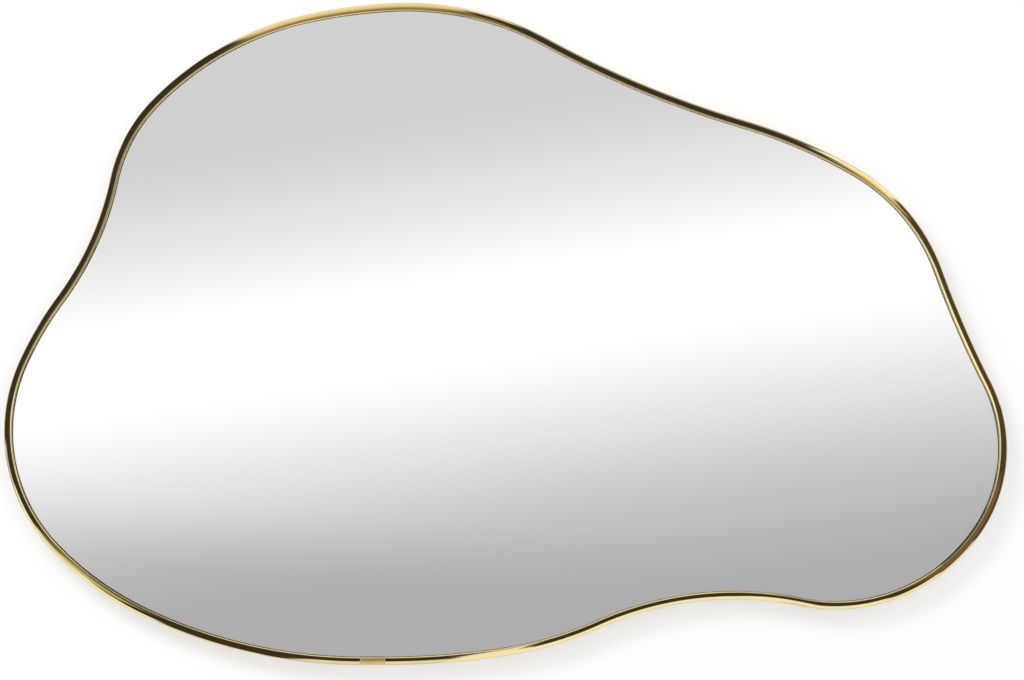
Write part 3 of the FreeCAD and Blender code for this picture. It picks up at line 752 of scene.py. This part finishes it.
@dataclass
class Hanger:
    """A strap with a rolled eye, the ring that swings in it, and its two screws."""

    label: str
    pivot: tuple[float, float]
    turn: float = 0.0  # degrees about Y
    board_back: float = 5.0
    strap_width: float = 14.0
    strap_length: float = 39.0
    thickness: float = 1.2
    tail_round: float = 6.0
    wire: float = 1.3
    clearance: float = 0.08
    eye_turn: float = 300.0
    corner_radius: float = 2.5
    bow_radius: float = 9.8
    lean: float = 1.5
    edge_round: float = 0.3
    screw_distances: tuple[float, float] = (18.0, 32.0)
    screw_spins: tuple[float, float] = (25.0, 65.0)  # degrees by which each cross recess is turned

    @property
    def place(self) -> Matrix:
        """Where the hanger's own axes lie: its pivot on the board, turned about Y."""
        spot = Matrix.Translation((self.pivot[0], self.board_back, self.pivot[1]))
        return spot @ Matrix.Rotation(math.radians(self.turn), 4, "Y")

    @property
    def pivot_height(self) -> float:
        """How far the ring's bar is from the board."""
        return self.thickness + self.wire + self.clearance

    def strap_points(self) -> tuple[np.ndarray, list[list[int]]]:
        """The strap as a rounded flat bar carried up its middle line and round the eye.

        The line is straight up to the pivot and then a circle round it. The bar's half width grows from the
        tail as the half chord of a circle of the tail's radius. A point is the line's place plus its height
        along the line's normal, at its own width.

        Returns:
            The points and the faces.
        """
        half = self.strap_width / 2
        r = self.tail_round
        rising = r * (1 - np.cos(np.linspace(0, math.pi / 2, 14)))
        straight = np.concatenate([rising, np.linspace(r + 2, self.strap_length, 12)])
        radius = self.wire + self.clearance + self.thickness / 2
        angle = np.radians(np.linspace(0, self.eye_turn, 49))[1:]
        line_y = np.concatenate(
            [np.full(len(straight), self.thickness / 2), self.pivot_height - radius * np.cos(angle)]
        )
        line_z = np.concatenate([straight - self.strap_length, radius * np.sin(angle)])
        lean = np.concatenate([np.zeros(len(straight)), angle])
        tail = half - r + np.sqrt(np.maximum(r**2 - (r - rising) ** 2, 0))
        wide = np.concatenate([tail, np.full(len(lean) - len(rising), half)])
        e, flat = self.edge_round, self.thickness / 2
        section = np.concatenate(
            [
                arc((-e, flat - e), e, 90, 0, 3),
                arc((-e, e - flat), e, 0, -90, 3),
                arc((e, e - flat), e, -90, -180, 3),
                arc((e, flat - e), e, 180, 90, 3),
            ]
        )
        side = np.repeat([1.0, -1.0], len(section) // 2)
        across = section[None, :, 0] + side[None, :] * wide[:, None]
        height = section[None, :, 1]
        normal_y, normal_z = np.cos(lean)[:, None], -np.sin(lean)[:, None]
        points = np.stack(
            [across, line_y[:, None] + height * normal_y, line_z[:, None] + height * normal_z], axis=-1
        ).reshape(-1, 3)
        rings, sides = len(line_y), len(section)
        faces = tube_faces(rings, sides).tolist()
        faces += [list(range(sides)), list(range((rings - 1) * sides, rings * sides))]
        return points, faces

    def ring_line(self, part: RingPart) -> tuple[np.ndarray, np.ndarray]:
        """Places and outward directions, in X and Z, along one stretch of the ring's wire.

        Args:
            part: which stretch; a bend is a quarter circle and the bow a half circle, walked clockwise.

        Returns:
            The places and the unit directions that point out of the ring, one row each.
        """
        flat = self.bow_radius - self.corner_radius
        if part is RingPart.BAR:
            across = np.linspace(-flat, flat, 12, endpoint=False)
            return np.stack([across, 0 * across], axis=1), np.tile([0.0, 1.0], (len(across), 1))
        centre, radius, start, steps, sweep = {
            RingPart.RIGHT_BEND: ((flat, -self.corner_radius), self.corner_radius, 90, 12, -90),
            RingPart.BOW: ((0.0, -self.corner_radius), self.bow_radius, 0, 48, -180),
            RingPart.LEFT_BEND: ((-flat, -self.corner_radius), self.corner_radius, 180, 12, -90),
        }[part]
        places = arc(centre, radius, start, start + sweep, steps)[:-1]
        return places, (places - centre) / radius

    def ring_points(self, sides: int = 20) -> tuple[np.ndarray, list[list[int]]]:
        """The D-ring: a circle of the wire's radius carried round the closed line.

        A point is the line's place plus the wire's radius times the cosine of an angle, along the direction
        out of the ring, and its sine, along the ring's axis of depth.

        Args:
            sides: points round the wire.

        Returns:
            The points and the faces.
        """
        lines = [self.ring_line(part) for part in RingPart]
        place = np.concatenate([p for p, _ in lines])
        out = np.concatenate([n for _, n in lines])
        angle = np.linspace(0, 2 * math.pi, sides, endpoint=False)
        flat = place[:, None, :] + self.wire * np.cos(angle)[None, :, None] * out[:, None, :]
        deep = np.broadcast_to(self.wire * np.sin(angle), flat.shape[:2])
        points = np.stack([flat[..., 0], deep, flat[..., 1]], axis=-1).reshape(-1, 3)
        return points, tube_faces(len(place), sides, closed=True).tolist()

    def build(self) -> None:
        """Makes the strap, the ring and the two screws."""
        points, faces = self.strap_points()
        strap = make_piece(
            f"rolled_strap_{self.label}", placed(points, self.place), faces, [ZINC.material()], "mirror"
        )
        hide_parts(f"hanger_strap_{self.label}")
        points, faces = self.ring_points()
        lean = Matrix.Rotation(math.radians(self.lean), 4, "X")
        swung = Matrix.Translation((0, self.pivot_height, 0)) @ lean
        ring = make_piece(
            f"wire_ring_{self.label}",
            placed(points, self.place @ swung),
            faces,
            [NICKEL.material()],
            f"ring_{self.label}",
        )
        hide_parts(f"hanger_ring_{self.label}")
        seats = [
            self.place
            @ Matrix.Translation((0, self.thickness, -distance))
            @ Matrix.Rotation(math.radians(spin), 4, "Y")
            for distance, spin in zip(self.screw_distances, self.screw_spins)
        ]
        screws = PanScrew().build(f"pan_screws_{self.label}", seats)
        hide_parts(f"hanger_screws_{self.label}")


@dataclass
class PanScrew:
    """A pan-head screw with a cross recess, its head above y = 0 and its shank below."""

    head_radius: float = 3.3
    head_height: float = 2.0
    shank_radius: float = 1.5
    shank_length: float = 8.5
    recess_length: float = 3.6
    recess_width: float = 0.95
    recess_depth: float = 1.1
    recess_wall: float = 0.12  # how far the cross's walls run out over their depth
    recess_slope: float = 1.25  # share of its depth that a wing gains up to the middle, capped at 1
    eye: float = 0.04  # the dome's first ring, as a share of the head's radius
    dome_share: float = 0.82  # of the head's radius that the dome takes up; the rim has the rest
    dome_fall: float = 0.16  # share of the head's height by which the dome would fall at the full radius
    rim_share: float = 0.18  # the rim's rounding, as a share of the head's radius
    under_rim: float = 0.12  # chamfer under the head
    tip: float = 0.4  # chamfer of the shank's tip
    sides: int = 72

    def profile(self) -> np.ndarray:
        """Radius and height from the head's middle to the shank's tip: a low dome, a rim and a shank."""
        dome = np.linspace(self.eye, self.dome_share, 26) * self.head_radius
        crown = self.head_height * (1 - self.dome_fall * (dome / self.head_radius) ** 2)
        rim_round = self.rim_share * self.head_radius
        edge = crown[-1] - rim_round
        rim = arc((self.head_radius - rim_round, edge), rim_round, 80, 0, 5)
        below = [
            (self.head_radius, self.under_rim),
            (self.head_radius - self.under_rim, 0.0),
            (self.shank_radius, 0.0),
            (self.shank_radius, -self.shank_length + self.tip),
            (self.shank_radius - self.tip, -self.shank_length),
        ]
        return np.concatenate([np.stack([dome, crown], axis=1), rim, below])

    def recess(self, across: np.ndarray, up: np.ndarray) -> np.ndarray:
        """Depth of the cross: wings with steep sides whose floor rises from the middle to their ends."""
        near, far = np.minimum(abs(across), abs(up)), np.maximum(abs(across), abs(up))
        walls = np.clip((self.recess_width / 2 - near) / self.recess_wall, 0, 1)
        floor = np.clip(self.recess_slope * (1 - far / (self.recess_length / 2)), 0, 1)
        return self.recess_depth * walls * floor

    def build(self, name: str, seats: list[Matrix]) -> bpy.types.Object:
        """Makes one piece of several screws.

        The profile is turned about the screw's axis: a point is its radius times the angle's cosine and sine,
        at its height, less the recess where it lies on the dome.

        Args:
            name: the piece's name.
            seats: where each screw's head meets what it holds.

        Returns:
            The piece.
        """
        profile = self.profile()
        angle = np.linspace(0, 2 * math.pi, self.sides, endpoint=False)
        across = profile[:, :1] * np.cos(angle)
        up = profile[:, :1] * np.sin(angle)
        height = np.broadcast_to(profile[:, 1:], across.shape).copy()
        on_head = profile[:, 1:] > self.head_height / 2
        height -= np.where(on_head, self.recess(across, up), 0)
        one = np.stack([across, height, up], axis=-1).reshape(-1, 3)
        rings, sides = across.shape
        faces = tube_faces(rings, sides)
        caps = [np.arange(sides), np.arange((rings - 1) * sides, rings * sides)]
        points = np.concatenate([placed(one, seat) for seat in seats])
        shifts = [number * len(one) for number in range(len(seats))]
        every = [face for shift in shifts for face in (faces + shift).tolist()]
        every += [(cap + shift).tolist() for shift in shifts for cap in caps]
        screws = make_piece(name, points, every, [SCREW_STEEL.material()], "mirror", crease=40)
        return screws


# --- what else is behind --------------------------------------------------------------------------


@dataclass
class Bumper:
    """A round rubber bumper stuck on the board."""

    label: str
    middle: tuple[float, float]
    board_back: float = 5.0
    radius: float = 7.0
    height: float = 6.0
    rim_round: float = 1.5
    dish: float = 0.35  # hollow of the face that meets the wall
    foot: float = 0.5  # how far the glued foot stands back under the side
    foot_height: float = 0.3
    foot_slope: float = 0.05  # how much higher the side begins
    side_end: float = 0.4  # how far under the rim's rounding the side's last ring is
    # how far in from the rim's rounding the dish's rings are, and the share of its depth that each reaches
    dish_rings: tuple[tuple[float, float], ...] = ((0.6, 0.0), (1.2, 0.7), (2.0, 1.0))
    eye: float = 0.05  # radius of the profile's ends, which flat caps close
    sides: int = 96

    def build(self) -> None:
        """Turns the bumper's profile about its axis: foot, side, rounded rim and a shallow dish."""
        r, h = self.radius, self.height
        face = r - self.rim_round
        shoulder = h - self.rim_round
        foot = [
            (self.eye, 0.0),
            (r - self.foot, 0.0),
            (r - self.foot, self.foot_height),
            (r, self.foot_height + self.foot_slope),
            (r, shoulder - self.side_end),
        ]
        dish = [(face - run, h - share * self.dish) for run, share in self.dish_rings]
        dish.append((self.eye, h - self.dish))
        profile = np.concatenate([foot, arc((face, shoulder), self.rim_round, 0, 90, 10), dish])
        angle = np.linspace(0, 2 * math.pi, self.sides, endpoint=False)
        across = profile[:, :1] * np.cos(angle) + self.middle[0]
        up = profile[:, :1] * np.sin(angle) + self.middle[1]
        deep = np.broadcast_to(profile[:, 1:] + self.board_back, across.shape)
        points = np.stack([across, deep, up], axis=-1).reshape(-1, 3)
        rings, sides = across.shape
        faces = tube_faces(rings, sides).tolist()
        faces += [list(range(sides)), list(range((rings - 1) * sides, rings * sides))]
        bumper = make_piece(f"rubber_bumper_{self.label}", points, faces, [RUBBER.material()], "mirror")
        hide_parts(f"wall_bumper_{self.label}")


@dataclass
class Back:
    """The board with what is fixed to it, and the layers between the board and the pane."""

    splice_middle: tuple[float, float] = (-120.0, -295.2)
    lip_back: float = 9.0
    splice_screws: tuple[float, ...] = (-30.0, -18.0, 0.0, 18.0, 30.0)
    screw_spin: float = 17.0  # degrees by which each cross recess is turned past the one before
    finishes: dict[str, Finish] = field(
        default_factory=lambda: {
            "backing_board": FIBREBOARD,
            "safety_film": FILM,
            "mounting_tape_strips": FOAM,
            "glass_edge_pads": FELT,
            "spring_clips": SPRING_STEEL,
            "splice_plate": ZINC,
        }
    )

    def dress_nodes(self) -> None:
        """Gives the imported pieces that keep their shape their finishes."""
        for node, finish in self.finishes.items():
            for slot in frame["nodes"][node].material_slots:
                slot.material = finish.material()
            LOG.info("%s: %s", node, finish.name)

    def build(self) -> None:
        """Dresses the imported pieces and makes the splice's screws and the bumpers."""
        self.dress_nodes()
        seats = [
            Matrix.Translation((self.splice_middle[0] + along, self.lip_back, self.splice_middle[1]))
            @ Matrix.Rotation(math.radians(self.screw_spin * number), 4, "Y")
            for number, along in enumerate(self.splice_screws)
        ]
        small = PanScrew(
            head_radius=2.75,
            head_height=1.6,
            shank_length=3.4,
            recess_length=3.0,
            recess_width=0.8,
            recess_depth=0.9,
        )
        screws = small.build("splice_pan_screws", seats)
        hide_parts("splice_screws")
        for label in BUMPERS:
            low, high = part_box(f"wall_bumper_{label}")
            middle = (low + high) / 2 / MM
            Bumper(label, (middle.x, middle.z)).build()


# --- the studio -----------------------------------------------------------------------------------


@dataclass(frozen=True)
class Panel:
    """A patch of the room that metal reflects, in degrees as seen from the mirror's middle.

    Its place is given as on a dial: where it starts and ends going round, from +X over the top, and how far
    off straight ahead its near and far edges are.
    """

    starts: float
    ends: float
    near: float
    far: float
    strength: float
    colour: str = "#FFFFFF"
    softness: float = 4.0  # width of the blurred edge

    @property
    def towards(self) -> Vector:
        """The direction on the dial at which the patch's middle lies."""
        turn = math.radians((self.starts + self.ends) / 2)
        return Vector((math.cos(turn), 0, math.sin(turn)))


@dataclass(frozen=True)
class Lamp:
    """An area lamp aimed at the mirror's middle, in metres and watts."""

    name: str
    place: tuple[float, float, float]
    width: float
    power: float


@dataclass
class Studio:
    """The floor, the wall, the lamps and what the metal and the glass reflect."""

    wall_depth: float = 0.0112
    floor_level: float = -0.95
    reach: float = 6.0
    wall_glow: float = 0.5
    wall_tone: str = "#B3B3B3"
    shade: str = "#E4E4E4"  # what lights the object from all around
    band_tilt: float = 8.4  # degrees by which the mirror's bright band rises to the right
    band_low: float = -0.0951  # where, in the reflected direction, the lower grey is reached
    band_middle: float = 0.01515
    band_high: float = 0.1008
    band_tones: tuple[str, str, str] = ("#B0B0B0", "#FFFFFF", "#D0D0D0")  # below, in and above the band
    band_gain: float = 1.09  # makes up for what the glass and the silver keep back
    room_gain: float = 1.15  # how bright the palest things in the room are
    sweep: tuple[float, float] = (0.34, 0.14)  # half width and height of the pale sweep straight ahead
    sweep_rise: float = 0.05  # how far its middle is above the camera
    sweep_rim: tuple[float, float] = (1.12, 0.88)  # where it begins and is full, as shares of its size
    sweep_ahead: tuple[float, float] = (0.0, 0.1)  # cosines off straight ahead between which it fades in
    sweep_white: tuple[float, float] = (0.05, 0.01)  # levels between which its tone turns white
    sweep_tone: str = "#8E8E90"
    white: str = "#FFFFFF"
    dark: str = "#36322C"
    dark_right: str = "#4A433C"
    rear: str = "#C4C2BE"
    side_blend: tuple[float, float] = (0.2, 0.5)  # cosines off +X, and off the rear, between which they mix
    once: tuple[float, float] = (1.6, 1.4)  # glossy depths that tell one bounce from two
    panels: tuple[Panel, ...] = (
        # the floor's paper, with the strip of light that falls between two cards
        Panel(-104, -89, 27.5, 48, 0.85, "#EEF4FF"),
        Panel(-90, -82, 9.5, 24, 0.95, "#F2F8FF", 1.5),
        Panel(-89, -79.5, 23.5, 62, 0.98, "#F2F8FF", 1.5),
        Panel(-82, -60, 29.5, 62, 1.0, "#EFF7FF"),
        Panel(-61, -46, 36, 62, 1.0, "#EFF6FF"),
        Panel(-47, -34, 43, 62, 1.0, "#F0F7FF"),
        Panel(-122, -107, 45, 64, 0.95, "#F2F6FF"),
        Panel(-155, -38, 60, 100, 0.95, "#FFF6E8"),
        # the light at the lower left
        Panel(-136, -121, 38.5, 62, 0.97, "#F4FFFF"),
        Panel(-150, -134, 31, 40, 0.6, "#FAFFE8", 6.0),
        Panel(-162, -134, 39, 62, 0.96, "#F2FFFF", 6.0),
        Panel(-174, -160, 42, 62, 0.75, "#F0F8FF", 6.0),
        Panel(-150, -143, 14, 26, 0.16, "#FFFFDC", 3.0),
        Panel(-143, -130, 19, 33, 0.42, "#FFFFC4", 4.0),
        # a warm wall at the lower right
        Panel(-46, -14, 14, 36, 0.11, "#FFDDB4", 8.0),
        # the window at the upper right
        Panel(31, 43, 12, 30, 0.42, "#FFF0BE"),
        Panel(36, 51, 22, 32, 0.75, "#FFF4DC"),
        Panel(39, 57, 30, 62, 1.0, "#FBFDFF"),
        Panel(57, 69, 40, 62, 0.4, "#E6EEFF"),
        # the light overhead
        Panel(79, 126, 11, 21, 0.2, "#FFEBC4", 10.0),
        Panel(90, 121, 19, 30, 0.42, "#F4E3C0", 10.0),
        Panel(84, 119, 26, 41, 0.85, "#F1E6CC", 10.0),
        Panel(72, 120, 38, 62, 1.0, "#F1ECDC", 10.0),
        # far to the sides, where only the roundings look
        Panel(154, 188, 60, 104, 0.5),
        Panel(-38, 12, 62, 100, 0.3),
        Panel(12, 50, 57, 100, 0.95),
        Panel(50, 76, 64, 100, 0.5),
        Panel(76, 124, 60, 100, 0.95),
    )
    lamps: tuple[Lamp, ...] = (
        Lamp("key_lamp", (-1.3, -1.9, 1.65), 1.0, 36.0),
        Lamp("fill_lamp", (1.2, -2.2, 0.8), 1.6, 10.0),
        Lamp("rear_lamp", (-1.4, 1.9, 1.3), 1.2, 22.0),
        Lamp("rear_fill_lamp", (1.6, 1.8, 0.4), 1.4, 10.0),
    )

    def ahead(self, tree: Tree, direction: Vector, view: Socket) -> Socket:
        """How far the reflected direction points towards another one, as the cosine between them."""
        return add(
            tree, "ShaderNodeVectorMath", {0: view, 1: direction}, operation="DOT_PRODUCT"
        ).outputs["Value"]

    def level(self, tree: Tree, view: Socket) -> Socket:
        """How high the reflected direction is over the slanting line that the bright band follows."""
        tilt = math.radians(self.band_tilt)
        return self.ahead(tree, Vector((-math.sin(tilt), 0, math.cos(tilt))), view)

    def mirror_band(self, tree: Tree, view: Socket) -> Socket:
        """What the pane reflects: a white band that fades to greys above and below, as a paper sweep does."""
        share = add(
            tree,
            "ShaderNodeMapRange",
            {"Value": self.level(tree, view), "From Min": self.band_low, "From Max": self.band_high},
        )
        middle = (self.band_middle - self.band_low) / (self.band_high - self.band_low)
        stops = list(zip((0.0, middle, 1.0), self.band_tones))
        ramp = add(tree, "ShaderNodeValToRGB", {"Fac": share.outputs["Result"]}, stops)
        ramp.color_ramp.interpolation = "EASE"
        return ramp.outputs["Color"]

    def mixed(self, tree: Tree, share: Socket, first: Any, second: Any) -> Socket:
        """Two colours mixed by a share.

        Args:
            tree: the world's nodes.
            share: how much of the second colour there is.
            first: the first colour or its socket.
            second: the second colour or its socket.

        Returns:
            The mixed colour.
        """
        return add(tree, "ShaderNodeMix", {0: share, 6: first, 7: second}, data_type="RGBA").outputs[2]

    def metal_room(self, tree: Tree, view: Socket) -> Socket:
        """What metal reflects: a dark room, warmer at the right, a pale rear, the sweep and the panels."""
        low, high = self.side_blend
        rightward = self.ahead(tree, Vector((1, 0, 0)), view)
        sideways = add(tree, "ShaderNodeMapRange", {"Value": rightward, "From Min": low, "From Max": high})
        room = self.mixed(tree, sideways.outputs["Result"], linear(self.dark), linear(self.dark_right))
        rear = self.ramped(tree, self.ahead(tree, Vector((0, 1, 0)), view), *self.side_blend)
        room = self.mixed(tree, rear, room, linear(self.rear))
        forward = self.ahead(tree, Vector((0, -1, 0)), view)
        off = add(tree, "ShaderNodeMath", {0: forward}, operation="ARCCOSINE").outputs[0]
        flat = add(tree, "ShaderNodeVectorMath", {0: view, 1: (1, 0, 1)}, operation="MULTIPLY").outputs[0]
        dial = add(tree, "ShaderNodeVectorMath", {0: flat}, operation="NORMALIZE").outputs[0]
        for panel in self.panels:
            soft = math.radians(panel.softness)
            near, far = math.radians(panel.near), math.radians(panel.far)
            share = self.ramped(tree, off, near - soft / 2, near + soft / 2)
            share = self.ramped(tree, off, far + soft / 2, far - soft / 2, share)
            half = (panel.ends - panel.starts) / 2
            inner, outer = (math.cos(math.radians(half + panel.softness * side)) for side in (-0.25, 0.25))
            share = self.ramped(tree, self.ahead(tree, panel.towards, dial), outer, inner, share)
            seen = add(tree, "ShaderNodeMath", {0: share, 1: panel.strength}, operation="MULTIPLY")
            room = self.mixed(tree, seen.outputs[0], room, linear(panel.colour))
        wide, tall = self.sweep
        drawn = add(
            tree,
            "ShaderNodeVectorMath",
            {0: flat, 1: (1 / wide, 0, 1 / tall), 2: (0, 0, -self.sweep_rise / tall)},
            operation="MULTIPLY_ADD",
        )
        size = add(tree, "ShaderNodeVectorMath", {0: drawn.outputs[0]}, operation="LENGTH").outputs["Value"]
        front = self.ramped(tree, forward, *self.sweep_ahead)
        white = self.ramped(tree, self.level(tree, view), *self.sweep_white)
        paper = self.mixed(tree, white, linear(self.sweep_tone), linear(self.white))
        room = self.mixed(tree, self.ramped(tree, size, *self.sweep_rim, front), room, paper)
        return add(
            tree, "ShaderNodeVectorMath", {0: room, "Scale": self.room_gain}, operation="SCALE"
        ).outputs[0]

    def ramped(
        self,
        tree: Tree,
        value: Socket,
        nothing: float,
        full: float,
        top: Socket | None = None,
    ) -> Socket:
        """A smooth step.

        Args:
            tree: the world's nodes.
            value: what it depends on.
            nothing: the value at which it is 0.
            full: the value at which it is at its top.
            top: what it reaches, or 1.

        Returns:
            The step's socket.
        """
        inputs = {"Value": value, "From Min": nothing, "From Max": full}
        if top is not None:
            inputs["To Max"] = top
        step = add(tree, "ShaderNodeMapRange", inputs, interpolation_type="SMOOTHSTEP")
        return step.outputs["Result"]

    def light_world(self) -> None:
        """White to the camera, the band in the pane, the room in metal, and an even shade elsewhere.

        Light that left the pane shows the band where the pane is seen itself, and the room where the pane is
        seen in the metal beside it.
        """
        world = bpy.data.worlds.new("studio")
        bpy.context.scene.world = world
        world.use_nodes = True
        tree = world.node_tree
        view = add(tree, "ShaderNodeTexCoord").outputs["Generated"]
        path = add(tree, "ShaderNodeLightPath")
        room = self.metal_room(tree, view)
        band = add(
            tree,
            "ShaderNodeVectorMath",
            {0: self.mirror_band(tree, view), "Scale": self.band_gain},
            operation="SCALE",
        )
        direct = self.ramped(tree, path.outputs["Glossy Depth"], *self.once)
        pane = self.mixed(tree, direct, room, band.outputs[0])
        colour = self.mixed(tree, path.outputs["Is Glossy Ray"], linear(self.shade), room)
        colour = self.mixed(tree, path.outputs["Is Transmission Ray"], colour, pane)
        colour = self.mixed(tree, path.outputs["Is Camera Ray"], colour, linear(self.white))
        tree.links.new(colour, tree.nodes["Background"].inputs["Color"])

    def sheet(self, name: str, corners: list[tuple[float, float, float]]) -> None:
        """A pale stage surface that only the camera sees, and that is clear from behind.

        Args:
            name: its name.
            corners: its four corners in metres.
        """
        mesh = bpy.data.meshes.new(name)
        mesh.from_pydata(corners, [], [[0, 1, 2, 3]])
        surface = bpy.data.objects.new(name, mesh)
        bpy.context.scene.collection.objects.link(surface)
        surface.visible_diffuse = False
        surface.visible_glossy = False
        surface.visible_transmission = False
        surface.visible_shadow = False
        material = bpy.data.materials.new(f"{name}_paper")
        material.use_nodes = True
        tree = material.node_tree
        tree.nodes.remove(tree.nodes["Principled BSDF"])
        glow = add(tree, "ShaderNodeEmission", {"Color": linear(self.white), "Strength": self.wall_glow})
        paper = add(tree, "ShaderNodeBsdfDiffuse", {"Color": linear(self.wall_tone)})
        both = add(tree, "ShaderNodeAddShader", {0: glow.outputs[0], 1: paper.outputs[0]})
        clear = add(tree, "ShaderNodeBsdfTransparent")
        side = add(tree, "ShaderNodeNewGeometry").outputs["Backfacing"]
        seen = add(tree, "ShaderNodeMixShader", {0: side, 1: both.outputs[0], 2: clear.outputs[0]})
        tree.links.new(seen.outputs[0], tree.nodes["Material Output"].inputs["Surface"])
        mesh.materials.append(material)

    def hang(self, lamp: Lamp) -> None:
        """Hangs a lamp so that it doesn't show in metal or glass."""
        light = bpy.data.lights.new(lamp.name, "AREA")
        light.size = lamp.width
        light.energy = lamp.power
        holder = bpy.data.objects.new(lamp.name, light)
        holder.location = lamp.place
        holder.rotation_euler = (-Vector(lamp.place)).to_track_quat("-Z", "Y").to_euler()
        holder.visible_glossy = False
        holder.visible_transmission = False
        bpy.context.scene.collection.objects.link(holder)

    def build(self) -> None:
        """Makes the world, the lamps, the wall and the floor."""
        self.light_world()
        y, z, far = self.wall_depth, self.floor_level, self.reach
        self.sheet("wall", [(-far, y, z), (far, y, z), (far, y, far), (-far, y, far)])
        self.sheet("floor", [(-far, -far, z), (far, -far, z), (far, far, z), (-far, far, z)])
        for lamp in self.lamps:
            self.hang(lamp)


@dataclass
class PhotoCamera:
    """The camera that took the mirror from straight ahead."""

    focal_length: float = 85.0
    sensor: float = 36.0
    picture_width: float = 927.5  # what the picture spans at the rail's crest
    crest: float = -11.0
    middle: tuple[float, float] = (6.3, -5.4)
    clip: tuple[float, float] = (0.01, 50.0)  # metres

    def build(self) -> None:
        """Places the camera so far away that its lens spans the picture's width."""
        distance = self.picture_width * self.focal_length / self.sensor
        camera = bpy.data.cameras.new("photo_camera")
        camera.lens = self.focal_length
        camera.sensor_width = self.sensor
        camera.clip_start, camera.clip_end = self.clip
        holder = bpy.data.objects.new("photo_camera", camera)
        holder.location = Vector((self.middle[0], self.crest - distance, self.middle[1])) * MM
        holder.rotation_euler = (math.radians(90), 0, 0)
        bpy.context.scene.collection.objects.link(holder)
        bpy.context.scene.camera = holder


def main() -> None:
    """Builds the mirror from its rail to its back, and then the studio round it."""
    logging.basicConfig(level=logging.INFO, format="%(name)s: %(message)s")
    bpy.context.scene.view_settings.view_transform = "Standard"
    FrameRail().build()
    Pane().build()
    Back().build()
    for joint in frame["joints"]:
        pivot = Vector(joint["pos_m"]) / MM
        turn = math.degrees(math.atan2(-joint["axis"][2], joint["axis"][0]))
        Hanger(joint["child"].removeprefix("ring_"), (pivot.x, pivot.z), turn).build()
    Studio().build()
    PhotoCamera().build()


if __name__ == "__main__":
    main()
